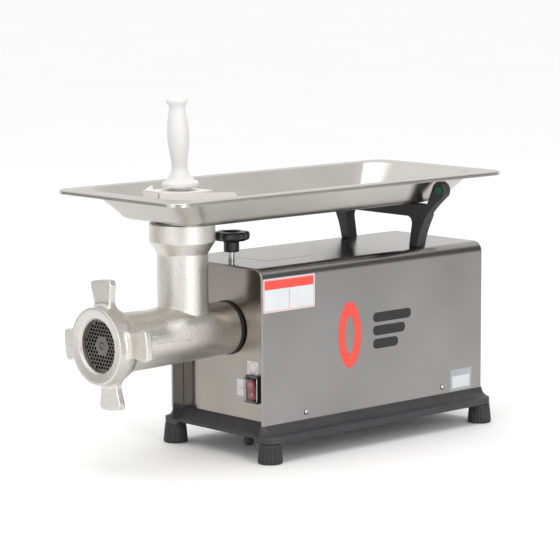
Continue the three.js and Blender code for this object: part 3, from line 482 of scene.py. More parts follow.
def grain(material, scale, stretch=(1, 1, 1), detail=4.0, rough=0.55):
    """Noise in the object's own space; scale counts features per metre."""
    tree = material.node_tree
    place = tree.nodes.new("ShaderNodeTexCoord")
    mapping = tree.nodes.new("ShaderNodeMapping")
    mapping.inputs["Scale"].default_value = stretch
    noise = tree.nodes.new("ShaderNodeTexNoise")
    noise.inputs["Scale"].default_value = scale
    noise.inputs["Detail"].default_value = detail
    noise.inputs["Roughness"].default_value = rough
    tree.links.new(place.outputs["Object"], mapping.inputs["Vector"])
    tree.links.new(mapping.outputs["Vector"], noise.inputs["Vector"])
    return noise.outputs["Fac"]


def spread(material, source, low, high, start=0.3, end=0.7):
    """The source stretched over start..end and mapped to low..high."""
    node = material.node_tree.nodes.new("ShaderNodeMapRange")
    node.inputs["From Min"].default_value = start
    node.inputs["From Max"].default_value = end
    node.inputs["To Min"].default_value = low
    node.inputs["To Max"].default_value = high
    material.node_tree.links.new(source, node.inputs["Value"])
    return node.outputs["Result"]


def tint(material, shader, source, dark, light, start=0.3, end=0.7):
    """Base colour from dark to light as the source rises."""
    ramp = material.node_tree.nodes.new("ShaderNodeValToRGB")
    ramp.color_ramp.elements[0].position = start
    ramp.color_ramp.elements[0].color = linear(*dark)
    ramp.color_ramp.elements[1].position = end
    ramp.color_ramp.elements[1].color = linear(*light)
    material.node_tree.links.new(source, ramp.inputs["Fac"])
    material.node_tree.links.new(ramp.outputs["Color"], shader.inputs["Base Color"])


def vary(material, shader, source, low, high):
    material.node_tree.links.new(spread(material, source, low, high), shader.inputs["Roughness"])


def relief(material, shader, source, depth, strength=1.0):
    """Bump of a real depth in metres, added to what the shader already has."""
    tree = material.node_tree
    bump = tree.nodes.new("ShaderNodeBump")
    bump.inputs["Distance"].default_value = depth
    bump.inputs["Strength"].default_value = strength
    tree.links.new(source, bump.inputs["Height"])
    normal = shader.inputs["Normal"]
    if normal.is_linked:
        tree.links.new(normal.links[0].from_socket, bump.inputs["Normal"])
    tree.links.new(bump.outputs["Normal"], normal)


def edge_wear_and_highlight(material, shader, colour):
    """A lighter colour on raised edges: partly edge wear, partly a painted highlight along the edges.
    """
    tree = material.node_tree
    geometry = tree.nodes.new("ShaderNodeNewGeometry")
    # Pointiness picks out the raised edges; the paler colour there is partly wear and partly a painted
    # highlight.
    amount = spread(material, geometry.outputs["Pointiness"], 0, 0.6, 0.52, 0.6)
    mix = tree.nodes.new("ShaderNodeMix")
    mix.data_type = "RGBA"
    base = shader.inputs["Base Color"]
    if base.is_linked:
        tree.links.new(base.links[0].from_socket, mix.inputs["A"])
    else:
        mix.inputs["A"].default_value = base.default_value
    mix.inputs["B"].default_value = linear(*colour)
    tree.links.new(amount, mix.inputs["Factor"])
    tree.links.new(mix.outputs["Result"], base)


def brushed_steel(name, dark, light, brush, roughness=(0.17, 0.21), metallic=1.0):
    """Brushed stainless sheet: reflections drawn out across the brushing, faint smudges over it."""
    material, shader = new_material(name, light, 0.2, metallic, Anisotropic=0.9)
    along_x = brush[0] > brush[1]
    lines = grain(material, 1, (12, 4000, 4000) if along_x else (4000, 12, 4000), detail=2.0)
    cloud = grain(material, 7, detail=3.0)
    tint(material, shader, cloud, dark, light)
    vary(material, shader, lines, *roughness)
    relief(material, shader, lines, 0.0000004)
    tree = material.node_tree
    geometry = tree.nodes.new("ShaderNodeNewGeometry")
    across = tree.nodes.new("ShaderNodeVectorMath")
    across.operation = "CROSS_PRODUCT"
    across.inputs[1].default_value = brush
    tree.links.new(geometry.outputs["Normal"], across.inputs[0])
    tree.links.new(across.outputs["Vector"], shader.inputs["Tangent"])
    return material


def tinned_cast():
    """Hot-tinned iron: warm silver, a sparkling fine skin over gentle casting waves."""
    material, shader = new_material("tinned_cast", (212, 208, 202), 0.42, 1.0)
    sparkle = grain(material, 360, detail=2.0, rough=0.6)
    waves = grain(material, 45, detail=2.0)
    tint(material, shader, sparkle, (209, 205, 198), (221, 217, 211), 0.34, 0.66)
    vary(material, shader, sparkle, 0.44, 0.32)
    relief(material, shader, waves, 0.0002, 0.5)
    relief(material, shader, sparkle, 0.0005, 0.9)
    return material


def machined_steel(name, colour, roughness, depth=0.00002, scale=900):
    material, shader = new_material(name, colour, roughness, 1.0)
    fine = grain(material, scale, detail=4.0)
    cloud = grain(material, 30, detail=2.0)
    tint(material, shader, cloud, [c * 0.88 for c in colour], colour)
    vary(material, shader, fine, roughness - 0.07, roughness + 0.1)
    relief(material, shader, fine, depth)
    return material


def painted_cast(name, dark, light, worn_and_highlit_edge):
    """Textured paint on a casting, with paler edges that are partly wear and partly a painted
    highlight.
    """
    material, shader = new_material(name, light, 0.5)
    peel = grain(material, 700, detail=3.0)
    waves = grain(material, 45, detail=3.0)
    tint(material, shader, waves, dark, light)
    vary(material, shader, peel, 0.42, 0.6)
    relief(material, shader, waves, 0.0004, 0.5)
    relief(material, shader, peel, 0.00014, 0.8)
    edge_wear_and_highlight(material, shader, worn_and_highlit_edge)
    return material


def moulded(name, dark, light, roughness, depth=0.00004, scale=1400, **sockets):
    """Moulded plastic or rubber with a fine skin."""
    material, shader = new_material(name, light, roughness, **sockets)
    fine = grain(material, scale, detail=2.0)
    cloud = grain(material, 50, detail=3.0)
    tint(material, shader, cloud, dark, light)
    vary(material, shader, fine, roughness - 0.06, roughness + 0.08)
    relief(material, shader, fine, depth, 0.6)
    return material


def clear_plastic():
    material, shader = new_material("clear_plastic", (236, 240, 240), 0.06,
                                    Transmission_Weight=1.0, IOR=1.42)
    fine = grain(material, 220, detail=2.0)
    vary(material, shader, fine, 0.03, 0.12)
    relief(material, shader, fine, 0.00005, 0.4)
    return material


def laminated():
    """Stacked motor iron: fine plates across the shaft."""
    material, shader = new_material("lamination", (110, 110, 114), 0.5, 1.0)
    stack = grain(material, 1, (20, 2000, 20), detail=2.0)
    tint(material, shader, stack, (70, 70, 74), (128, 128, 132))
    vary(material, shader, stack, 0.4, 0.6)
    relief(material, shader, stack, 0.00008)
    return material


FINISH = {
    "cover": brushed_steel("cover_steel", (146, 144, 142), (158, 156, 154), (0.02, 1, 0.01)),
    "panel": brushed_steel("panel_steel", (152, 147, 140), (166, 160, 152), (1, 0.02, 0.01)),
    "tray": brushed_steel("tray_steel", (192, 188, 183), (203, 199, 194), (0.02, 1, 0.01),
                          (0.24, 0.27)),
    # Painted light: the steel guard gets a near-white colour and little metal, standing in for the
    # bright light its walls reflect.
    "guard": brushed_steel("guard_steel_painted_light", (236, 232, 226), (243, 239, 233), (0.02, 1, 0.01),
                           (0.35, 0.42), metallic=0.1),
    "tinned_cast": tinned_cast(),
    "plate_steel": machined_steel("plate_steel", (128, 126, 123), 0.34),
    "bright_steel": machined_steel("bright_steel", (205, 207, 210), 0.2),
    "iron": machined_steel("iron", (118, 118, 120), 0.5, 0.00006, 500),
    "aluminium": machined_steel("aluminium", (170, 172, 174), 0.45, 0.00008, 600),
    "lamination": laminated(),
    # The third colour is the paler edge colour: partly wear, partly a painted highlight.
    "grey_casting": painted_cast("grey_casting", (48, 47, 49), (58, 57, 59), (84, 83, 86)),
    "black_casting": painted_cast("black_casting", (38, 37, 39), (48, 47, 49), (78, 76, 78)),
    "rubber": moulded("rubber", (38, 38, 40), (48, 48, 50), 0.55, 0.00008, 900),
    "seal": moulded("seal_rubber", (34, 34, 36), (46, 46, 48), 0.42, 0.00006, 900),
    "black_plastic": moulded("black_plastic", (20, 20, 21), (28, 28, 29), 0.3),
    "white_plastic": moulded("white_plastic", (214, 214, 212), (222, 222, 220), 0.42,
                             Subsurface_Weight=0.1, Subsurface_Scale=0.004),
    "green_plastic": moulded("green_plastic", (0, 84, 46), (0, 100, 58), 0.45),
    "red_plastic": moulded("red_plastic", (178, 24, 36), (196, 34, 46), 0.3),
    "clear_plastic": clear_plastic(),
    "label_white": moulded("label_white", (208, 212, 214), (216, 220, 222), 0.4, 0.00001),
    "label_red": moulded("label_red", (226, 70, 58), (232, 78, 66), 0.42, 0.00001),
    "label_dark": moulded("label_dark", (20, 18, 22), (27, 25, 29), 0.42, 0.00001),
    "label_grey": moulded("label_grey", (160, 165, 168), (172, 177, 180), 0.42, 0.00001),
}


# ---------------------------------------------------------------- base, feet and gland
def span(low, high):
    """The middle and the half length of a stretch."""
    return (low + high) / 2, (high - low) / 2


def base_field(x, y, z):
    """A skirt with a coved shoulder, open below, with a sloping sill at the front."""
    levels = [28, 37.4, 38.4, 40, 43, 47.5, 51]
    half_x = np.interp(z, levels, [115, 115, 112.3, 107, 102, 98.7, 97.5])
    inset = np.interp(z, levels, [0, 0, 0.6, 1.2, 2, 2.6, 2.8])
    radius = np.interp(z, levels, [14.5, 14.5, 13.6, 12, 10, 8, 7])
    middle, half_y = span(BASE["front"], BASE["rear"])
    middle_z, half_z = span(BASE["bottom"], BASE["top"])
    body = common(rect_field(x, y - middle, half_x, half_y - inset, radius),
                  abs(z - middle_z) - half_z, 1.0)
    middle, half_y = span(HOLLOW["foot_front"], HOLLOW["rear"])
    low_half_x = np.where(z > 39.7, HOLLOW["half_x"], HOLLOW["foot_half_x"])
    low_opening = np.maximum(rect_field(x, y - middle, low_half_x, half_y, HOLLOW["corner"]), z - 43.6)
    middle, half_y = span(HOLLOW["front"], HOLLOW["rear"])
    high_opening = rect_field(x, y - middle, HOLLOW["half_x"], half_y, HOLLOW["corner"])
    opening = np.minimum(low_opening, high_opening)
    slope = common(polygon_field(y, z, [(-30, 36.4), (2, 36.4), (21.3, 51), (21.3, 70), (-30, 70)]),
                   abs(x) - 92, 2.5)
    between_feet = abs(x) - HOLLOW["foot_half_x"]
    lip = common(polygon_field(y, z, [(-30, 10), (2, 10), (2, 70), (-30, 70)]), between_feet, 6)
    notch = common(polygon_field(y, z, [(-30, 10), (19, 10), (19, 31.8), (-30, 31.8)]),
                   between_feet, 2.5)
    for hollow in (opening, slope, lip, notch):
        body = common(body, -hollow, 0.9)
    return body


def foot(x, y):
    """A rubber foot: a plain collar above upright ribs, its edge rounded at the table."""
    ribs, rib_depth = 18, 0.95
    levels = [(-2.6, 0, 0), (-0.9, 0.5, 0), (-0.2, 1.4, 0.5), (0, 2.6, 1), (-0.1, 5, 1),
              (-1.45, 20, 1), (-1.6, 21.4, 0.5), (-1.7, 22, 0), (-2.3, 22.4, 0), (-2.3, 22.9, 0),
              (-1.9, 23.3, 0), (-2.2, 26.8, 0), (-2.5, 27.4, 0), (-3.2, 27.7, 0)]

    def radius_at(angle, inset, ribbed):
        groove = ribbed * rib_depth * max(0.0, math.cos(ribs * angle)) ** 2
        return FOOT["r"] + inset - groove

    return skin([round_ring((x, y, z), lambda a: radius_at(a, inset, ribbed), 144)
                 for inset, z, ribbed in levels])


def hexagon_nut(x, y, low, high, across, bore):
    """A chamfered hexagon nut along Z; across is half its width over the flats."""
    count, chamfer = 48, 0.6

    def radius_at(angle, shrink):
        side = (angle + math.pi / 6) % (math.pi / 3) - math.pi / 6
        return min(across / math.cos(side), across * 1.11) - shrink

    levels = ((low, chamfer), (low + chamfer, 0), (high - chamfer, 0), (high, chamfer))
    outside = [round_ring((x, y, z), lambda a: radius_at(a, shrink), count) for z, shrink in levels]
    inside = [round_ring((x, y, z), lambda a: bore, count) for z in (high, low)]
    return skin(outside + inside, loop=True)


def make_base():
    add_cast("base_casting", base_field, (-BASE["half_x"], BASE["front"], BASE["bottom"]),
             (BASE["half_x"], BASE["rear"], BASE["top"]), 1.5, "grey_casting", "frame", "base_frame")
    for end in ("front", "rear"):
        for side, x in (("left", -FOOT["x"]), ("right", FOOT["x"])):
            node = f"foot_{end}_{side}"
            add(f"rubber_{node}", foot(x, FOOT[end]), "rubber", "frame", node)
    x, y = GLAND
    gland = rounded([(3.7, 13), (3.7, 12), (5.2, 12), (7, 15), (7, 26), (8.2, 26), (8.2, 39.7),
                     (6.2, 39.7), (6.2, 46.8), (3.7, 46.8), (3.7, 45)], 0.6, 3)
    add("cable_gland", lathe(gland, "Z", (x, y, 0), 48), "black_plastic", "frame", "cord_gland")
    add("gland_locknut", hexagon_nut(x, y, 43.3, 48.6, 7.5, 6.5), "black_plastic", "frame", "gland_nut")


# ---------------------------------------------------------------- housing
def arch(half_x, bottom, top, radius, count=14):
    """The cover's outline from foot to foot over the top, as (x, z, outward x, outward z)."""
    line = [(-half_x, bottom, -1, 0), (-half_x, top - radius - 1, -1, 0)]
    for centre, start in ((-half_x + radius, 180), (half_x - radius, 90)):
        for i in range(count + 1):
            angle = math.radians(start - 90 * i / count)
            c, s = math.cos(angle), math.sin(angle)
            line.append((centre + radius * c, top - radius + radius * s, c, s))
    line += [(half_x, top - radius - 1, 1, 0), (half_x, bottom, 1, 0)]
    return line


def cover_shape():
    """A folded sheet with a hem rolled back inside its front edge."""
    roll, rear = COVER["hem"] / 2, COVER["rear"]
    section = [(0.2, rear), (0, rear - 0.3), (0, rear / 2), (0, roll + 1)]
    section += [(roll - roll * math.cos(a), roll - roll * math.sin(a))
                for a in np.linspace(0, math.pi, 11)]
    section += [(2 * roll, 3.6), (2 * roll - 0.3, 4), (SHEET + 0.2, 4), (SHEET, 4.4),
                (SHEET, rear / 2), (SHEET, rear - 0.3), (SHEET - 0.2, rear)]
    line = arch(COVER["half_x"], COVER["bottom"], COVER["top"], COVER["fold"])
    rings = [[(x - inset * nx, y, z - inset * nz) for inset, y in section]
             for x, z, nx, nz in line]
    stud_hole = lathe([(0, 255), (STUD_HOLE_R, 255), (STUD_HOLE_R, 275), (0, 275)], "Z",
                      (0, KNOB_Y, 0), 40)
    return carved(skin(rings), stud_hole)


def arch_outline(half_x, bottom, top, radius):
    return [(x, z) for x, z, _, _ in arch(half_x, bottom, top, radius)]


def screw_shape():
    """A pan-head cross-recess screw along +X, its head standing on the cover's side."""
    seat = COVER["half_x"] + 0.3
    profile = [(0, seat - 9), (1.7, seat - 9), (2.2, seat - 8.4), (2.2, seat), (3.8, seat),
               (4, seat + 0.3), (3.9, seat + 0.9), (3.3, seat + 1.7), (2.2, seat + 2.2),
               (1, seat + 2.38), (0, seat + 2.4)]
    body = lathe(profile, "X", (0, 0, 0), 40)
    arms = [soft_box((seat + 0.9, seat + 4), (-w, w), (-h, h), 0.12, 2)
            for w, h in ((2.1, 0.42), (0.42, 2.1))]
    return carved(body, *arms)


def louvre(z):
    """A pressed hood over one slot of the rear panel, open downwards."""
    count, steps, rings = 40, 6, []
    for i in range(count + 1):
        across = 2 * i / count - 1
        rise = max(0.02, (1 - abs(across) ** 6) ** 0.5)
        ring = []
        for thick, angles in ((0.0, range(steps + 1)), (0.9, range(steps, -1, -1))):
            for j in angles:
                angle = math.pi / 2 * j / steps
                ring.append((LOUVRE["half_x"] * across,
                             PANEL["rear"] + SHEET + (3.6 - thick) * rise * math.sin(angle),
                             z - 0.4 + (6.6 - thick) * rise * math.cos(angle)))
        rings.append(ring)
    return skin(rings)


def make_housing():
    add("steel_cover", cover_shape(), "cover", "frame", "housing_cover", sharp=35)
    outline = arch_outline(PANEL["half_x"], PANEL["bottom"], PANEL["top"], PANEL["fold"])
    half_x, half_z = SWITCH["body_x"] + 0.4, SWITCH["body_z"] + 0.4
    switch_hole = rounded_rect(SWITCH["x"] - half_x, SWITCH["x"] + half_x,
                               SWITCH["z"] - half_z, SWITCH["z"] + half_z, 1)
    front = plate(outline, [circle(0, AXIS_Z, HEAD_HOLE_R, 72), switch_hole],
                  PANEL["front"], PANEL["front"] + SHEET)
    add("steel_front_panel", front, "panel", "frame", "front_panel", sharp=35)
    heights = [LOUVRE["first"] + row * LOUVRE["pitch"] for row in range(LOUVRE["rows"])]
    slots = [rounded_rect(-LOUVRE["half_x"], LOUVRE["half_x"], z + 0.2, z + 4.8, 2.2) for z in heights]
    rear = plate(outline, slots, PANEL["rear"], PANEL["rear"] + SHEET)
    hoods = [louvre(z) for z in heights]
    add("steel_rear_panel", merge(rear, *hoods), "panel", "frame", "rear_panel",
        sharp=35)
    screw = screw_shape()
    for end, y in SCREWS.items():
        for side, shape in (("right", screw), ("left", mirrored(screw))):
            add(f"cross_screw_{end}_{side}", moved(shape, 0, y, SCREW_Z), "bright_steel", "frame",
                f"cover_screw_{end}_{side}", sharp=30)


def side_label(name, y, z, finish, radius, layer=0):
    """A thin blank label on the cover's right side."""
    low = COVER["half_x"] + LABEL["gap"] + LABEL["layer"] * layer
    shape = plate(rounded_rect(*y, *z, radius, 5), [], low, low + LABEL["thick"], "YZ", 0.04, 1)
    add(name, shape, finish, "frame")


def front_label(name, x, z, finish, radius, layer=0):
    """A thin blank label on the front panel."""
    high = PANEL["front"] - LABEL["gap"] - LABEL["layer"] * layer
    shape = plate(rounded_rect(*x, *z, radius, 5), [], high - LABEL["thick"], high, "XZ", 0.04, 1)
    add(name, shape, finish, "frame")


def make_labels():
    """Blank labels and a plain badge in place of the printed ones: no words, marks or symbols."""
    side_label("label_notice", (2.8, 98.7), (207.5, 254), "label_white", 1.5)
    side_label("label_notice_band", (5.4, 96.1), (239, 251.4), "label_red", 1.5, 1)
    side_label("label_notice_rule", (50.4, 51.1), (210, 236.6), "label_red", 0.3, 1)
    low = COVER["half_x"] + LABEL["gap"]
    frame_line = plate(rounded_rect(4.2, 97.3, 208.9, 252.6, 1.2, 5),
                       [rounded_rect(4.8, 96.7, 209.5, 252, 1.0, 5)],
                       low + LABEL["layer"], low + LABEL["layer"] + 0.1, "YZ", 0.04, 1)
    add("label_notice_border", frame_line, "label_red", "frame")
    side_label("label_rating", (370, 414.6), (52.6, 84), "label_grey", 1.0)
    side_label("label_rating_panel", (374, 410.6), (56.5, 74), "label_white", 0.8, 1)
    badge = plate(oval(167, 160, 22, 47, 96), [oval(167, 160, 9, 27, 64)], low, low + LABEL["thick"],
                  "YZ", 0.04, 1)
    add("badge_oval", badge, "label_red", "frame")
    for row, end in enumerate((288, 276, 262)):
        high = 186 - row * 19
        side_label(f"badge_bar_{row}", (212, end), (high - 14, high), "label_dark", 6.5)
    front_label("label_switch_upper", (42, 64.4), (115.4, 134), "label_white", 1.0)
    dial = plate(circle(53.2, 124.7, 8, 48), [circle(53.2, 124.7, 7.1, 48)],
                 PANEL["front"] - 0.24, PANEL["front"] - 0.14, "XZ", 0.03, 1)
    add("label_switch_ring", dial, "label_red", "frame")
    front_label("label_switch_side", (20.5, 44), (83, 106), "label_white", 1.0)
    front_label("label_switch_side_rule", (22.5, 42), (94, 94.7), "label_red", 0.3, 1)
    outline = [(-54, 62), (36, 62), (36, 152), (-54, 152)]
    panel = plate(outline, [], COVER["top"] + 0.01, COVER["top"] + 0.16, "XY", 0.05, 1)
    add("label_top_blank", panel, "cover", "frame")


# ---------------------------------------------------------------- grinding head
def head_field(x, y, z):
    """Barrel and feed tube in one casting, the barrel swelling to meet the tube, bored through."""
    r_axis, r_feed = np.hypot(x, z - AXIS_Z), np.hypot(x, y - THROAT_Y)
    barrel = polygon_field(r_axis, y, [
        (-5, -197.4), (44, -197.4), (44, -176.6), (40.4, -170.4), (35.9, 17.1), (26.4, 17.1),
        (26.4, 49.4), (-5, 49.4)]) - 0.6
    tube = polygon_field(r_feed, z, [
        (-5, AXIS_Z), (34.3, AXIS_Z), (34.3, 287.8), (44.4, 304.1), (44.4, 328.2), (-5, 328.2)]) - 0.8
    turn = np.degrees(np.arctan2(abs(x), z - AXIS_Z))
    crown, shoulder = 2.3, 4.6
    swell = (crown + shoulder * eased(turn, 5, 50)) * (1 - eased(turn, 52, 90))
    swell = swell * (1 - eased(abs(y - THROAT_Y), 22, 62))
    label_u, label_v = y + 112, z - AXIS_Z + y * 0.02 - 2.5
    pad = common(rect_field(label_u, label_v, 36, 6.5, 3), barrel - 0.3, 0.2)
    pad = np.maximum(pad, -rect_field(label_u, label_v, 34.9, 5.4, 2))
    pad = np.where(x > 0, pad, 9.0)
    solid = blended(barrel - swell, tube, 1.2)
    solid = blended(solid, pad, 0.2)
    bore = polygon_field(r_axis, y, [
        (-5, -230), (41.3, -230), (41.3, -190.7), (31, -190.7), (31, -10), (13.4, -10), (13.4, 28),
        (17.2, 28), (17.2, 80), (-5, 80)])
    feed = polygon_field(r_feed, z, [
        (-5, AXIS_Z), (30, AXIS_Z), (30, COLLAR["step"]), (COLLAR["bore"], COLLAR["step"]),
        (COLLAR["bore"], 360), (-5, 360)])
    return common(solid, -blended(bore, feed, 1.5), 0.7)


def ring_field(x, y, z):
    """The ring nut: a flat face with a bevelled mouth, a rounded skirt and four lugs cast on."""
    c, s = math.cos(math.radians(LUG["turn"])), math.sin(math.radians(LUG["turn"]))
    across, up = x * c + (z - AXIS_Z) * s, (z - AXIS_Z) * c - x * s
    r = np.hypot(across, up)
    front = RING_FRONT_Y
    body = polygon_field(r, y, [
        (38.9, front + 2.6), (48.9, front + 0.8), (51.7, front + 0.8), (51.7, front + 20),
        (50.6, front + 27), (45.8, front + 36.2), (44.5, front + 36.2), (44.5, -199.5),
        (36.4, -199.5), (36.4, front + 5.6)]) - 0.8
    for along, wide in ((up, across), (-up, across), (across, up), (-across, up)):
        outline = polygon_field(along, wide, [
            (44, -12.5), (44, 12.5), (60, 13.0), (72, 15.6), (80, 17.8), (83.2, 16.8), (84.1, 9),
            (84.3, 0), (84.1, -9), (83.2, -16.8), (80, -17.8), (72, -15.6), (60, -13.0)]) - 3.7
        lug = common(outline, abs(y - LUG["middle"]) - LUG["half"], 1.6)
        body = blended(body, lug, 7.0)
    hollow = polygon_field(r, y, [
        (-5, -200.3), (41.8, -200.3), (41.8, -198.5), (45, -198.5), (45, -150), (-5, -150)])
    return common(body, -hollow, 0.4)


def hole_places():
    """Centres of the plate's holes: a hexagonal field round a plain hexagon."""
    pitch, rows = PLATE["pitch"], 7
    places = []
    for row in range(-rows, rows + 1):
        for column in range(-2 * rows, 2 * rows + 1):
            x, z = (column + row / 2) * pitch, row * pitch * math.sqrt(3) / 2
            steps = max(abs(row), abs(column), abs(row + column))
            if steps > 2 and math.hypot(x, z) < PLATE["to"]:
                places.append((x, z))
    return places


def plate_shape():
    outline = circle(0, AXIS_Z, PLATE["r"], 120)
    holes = [circle(x, AXIS_Z + z, PLATE["hole_r"], 20) for x, z in hole_places()]
    holes.append(circle(0, AXIS_Z, 4.9, 36))
    return plate(outline, holes, PLATE["front"], PLATE["rear"], "XZ", 0.3, 1)


def knife_field(x, y, z):
    up, r = z - AXIS_Z, np.hypot(x, z - AXIS_Z)
    body = r - 12.5
    for along, across in ((up, x), (-up, -x), (x, -up), (-x, up)):
        arm = polygon_field(across, along, [(-5, 4), (5.5, 4), (3.5, 29), (-6.5, 28)])
        body = blended(body, arm, 2.5)
    slope = 0.25 * np.maximum(r - 12.5, 0) / 17
    solid = common(body, np.maximum(-190.5 - y, y + 181.9 + slope * 6), 0.4)
    return np.maximum(solid, -rect_field(x, up, 6.5, 6.5, 0.6))


def worm_shape():
    """A feed screw: its flight winds once per pitch round a core that thickens forward."""
    steps, rings = 190, []
    for step in range(steps + 1):
        along = step / steps
        y = WORM["front"] + (WORM["rear"] - WORM["front"]) * along
        core = WORM["core"] + 4 * (1 - along)
        edge = min(1.0, along * 20, (1 - along) * 20)

        def radius_at(angle):
            phase = (y / WORM["pitch"] + angle / (2 * math.pi)) % 1
            ridge = min(1.0, max(0.0, 1.9 - abs(phase - 0.5) * 7))
            return core + (WORM["r"] - core) * (ridge ** 0.7) * edge

        rings.append(round_ring((0, y, AXIS_Z), radius_at, 72, "XZ"))
    at = (0, 0, AXIS_Z)
    pin = lathe([(0, -198.9), (1.6, -198.9), (2.2, -199.2), (2.5, -199.7), (3.4, -199.8), (4.1, -199.5),
                 (4.4, -198.8), (4.4, -181), (0, -181)], "Y", at, 40)
    collar = lathe(rounded([(0, -14.5), (13, -14.5), (13, 28.8), (0, 28.8)], 0.8), "Y", at, 48)
    squares = [soft_box((-h, h), y, (AXIS_Z - h, AXIS_Z + h), 0.7)
               for h, y in ((6.2, (-190.2, -180.5)), (6.8, (27, 46)))]
    return merge(skin(rings), collar, *squares), pin


def gasket_shape():
    """A rubber ring with slanting ridges round its rim."""
    ridges, ridge_height = 64, 0.45
    profile = [(27.6, 21.7, 0), (37.2, 21.7, 0), (37.6, 21.5, 0.5), (37.7, 21, 1), (37.7, 20, 1),
               (37.7, 19.2, 1), (37.7, 18.6, 1), (37.5, 18.2, 0.5), (37.2, 18, 0), (27.6, 18, 0)]

    def radius_at(angle, r, y, ridged):
        return r + ridge_height * ridged * math.sin(ridges * angle + 2.6 * y)

    return skin([round_ring((0, y, AXIS_Z), lambda a: radius_at(a, r, y, ridged), 480, "XZ")
                 for r, y, ridged in profile], loop=True)


def make_head():
    add_cast("head_casting", head_field, (-46, -199, 130), (46, 51, 330), 1.25,
             "tinned_cast", "head", "grinder_head")
    add_cast("ring_nut_casting", ring_field, (-89, -212, AXIS_Z - 89), (89, -173, AXIS_Z + 89), 0.9,
             "tinned_cast", "ring_nut", "ring_nut")
    add("grinding_plate", plate_shape(), "plate_steel", "head", "hole_plate",
        sharp=30)
    knife = cast(knife_field, (-30, -191, AXIS_Z - 30), (30, -181, AXIS_Z + 30), 0.6)
    add("cross_knife", knife, "bright_steel", "worm", "cutter_knife", sharp=60)
    worm, pin = worm_shape()
    add("worm_screw", worm, "tinned_cast", "worm", "feed_worm", sharp=50)
    add("worm_pin", pin, "plate_steel", "worm")
    add("head_seal", gasket_shape(), "seal", "head", "head_gasket", sharp=60)
    washer = rounded([(13.5, -12), (13.5, -12.6), (28, -12.6), (28, -10.3), (13.5, -10.3),
                      (13.5, -11)], 0.4, 3)
    add("thrust_ring", lathe(washer, "Y", (0, 0, AXIS_Z), 72), "bright_steel", "head", "thrust_washer")


# ---------------------------------------------------------------- clamp knob
def knob_field(x, y, z):
    """Six finger lobes round a dished disc on a hub."""
    out_y = y - KNOB_Y
    r = np.hypot(x, out_y)
    angle = np.arctan2(out_y, x)
    sector = (angle + math.pi / 6) % (math.pi / 3) - math.pi / 6
    lobe = np.hypot(r * np.cos(sector) - KNOB["lobe_at"], r * np.sin(sector)) - KNOB["lobe_r"]
    disc = blended(r - KNOB["disc_r"], lobe, 4.0)
    low = 297.6 - 0.1 * (KNOB["lobe_at"] + KNOB["lobe_r"] - r)
    disc = common(disc, np.maximum(z - KNOB["top"], low - z), 4.2)
    dish = np.hypot(np.maximum(r - 8, 0), z - 313.5) - 7.2
    hub = common(r - KNOB["hub_r"], np.maximum(KNOB["bottom"] - z, z - 302), 1.6)
    solid = common(blended(disc, hub, 2.0), -dish, 1.2)
    bore = np.maximum(r - 4.55, z - 290.3)
    return np.maximum(solid, -bore)


def stud_shape():
    """A clamp stud: a rolled thread below, a plain shank above."""
    rings = []
    heights = np.concatenate([np.arange(STUD["bottom"], STUD["thread_top"], 0.35),
                              np.arange(STUD["thread_top"], STUD["top"] + 0.01, 2.0)])
    for z in heights:
        tip = min(1.0, 0.62 + (z - STUD["bottom"]) * 0.16)
        groove = 0.55 if z < STUD["thread_top"] - 1 else 0.0

        def radius_at(angle):
            wave = abs(((z / STUD["pitch"] + angle / (2 * math.pi)) % 1) - 0.5) * 2
            return STUD["r"] * tip - groove * wave

        rings.append(round_ring((0, KNOB_Y, z), radius_at, 40))
    return skin(rings)


def make_clamp():
    add_cast("lobed_knob", knob_field, (-27, KNOB_Y - 27, 281), (27, KNOB_Y + 27, 310), 0.6,
             "black_plastic", "knob", "clamp_knob")
    add("threaded_stud", stud_shape(), "bright_steel", "knob", "clamp_stud",
        sharp=60)


# ---------------------------------------------------------------- switch
def switch_ring(inset, y):
    half_x, half_z = SWITCH["wide"] / 2 - inset, SWITCH["high"] / 2 - inset
    line = rounded_rect(SWITCH["x"] - half_x, SWITCH["x"] + half_x, SWITCH["z"] - half_z,
                        SWITCH["z"] + half_z, max(3.0 - inset * 0.4, 0.8), 6)
    return [(x, y, z) for x, z in line]


def switch_body_shape():
    """A bezel and a body behind the panel, with a well for the rocker."""
    x, z, front = SWITCH["x"], SWITCH["z"], SWITCH["front"]
    body_x, body_z = SWITCH["body_x"], SWITCH["body_z"]
    wide, high = SWITCH["wide"] / 2, SWITCH["high"] / 2
    well_x, well_z = ROCKER["wide"] / 2 + 0.6, ROCKER["high"] / 2 + 1.9
    well = rounded_rect(x - well_x, x + well_x, z - well_z, z + well_z, 1.2)
    bezel = plate(rounded_rect(x - wide, x + wide, z - high, z + high, 2.2), [well], front,
                  PANEL["front"] - 0.3, "XZ", 1.0, 3)
    body = plate(rounded_rect(x - body_x, x + body_x, z - body_z, z + body_z, 1.2), [well],
                 PANEL["front"] - 0.4, 31, "XZ", 0.2, 1)
    back = soft_box((x - body_x, x + body_x), (31, 46), (z - body_z, z + body_z), 0.8)
    return merge(bezel, body, back)


def rocker_shape():
    """A rocker cap with two hollowed ends, the upper one standing out."""
    x, z, front = SWITCH["x"], SWITCH["z"], SWITCH["front"]
    half, back = ROCKER["high"] / 2, ROCKER["pivot_y"] + 4
    side = [(back, z - half + 3), (front + 1.4, z - half)]
    side += curve_to((front + 1.4, z - half), (front + 2.2, z - half / 2), (front + 0.6, z - 1), 6)
    side += curve_to((front + 0.6, z - 1), (front - 0.2, z + half / 2), (front - 2.6, z + half), 6)
    side += [(back, z + half - 3)]
    return plate(side, [], x - ROCKER["wide"] / 2, x + ROCKER["wide"] / 2, "YZ", 0.5, 3)


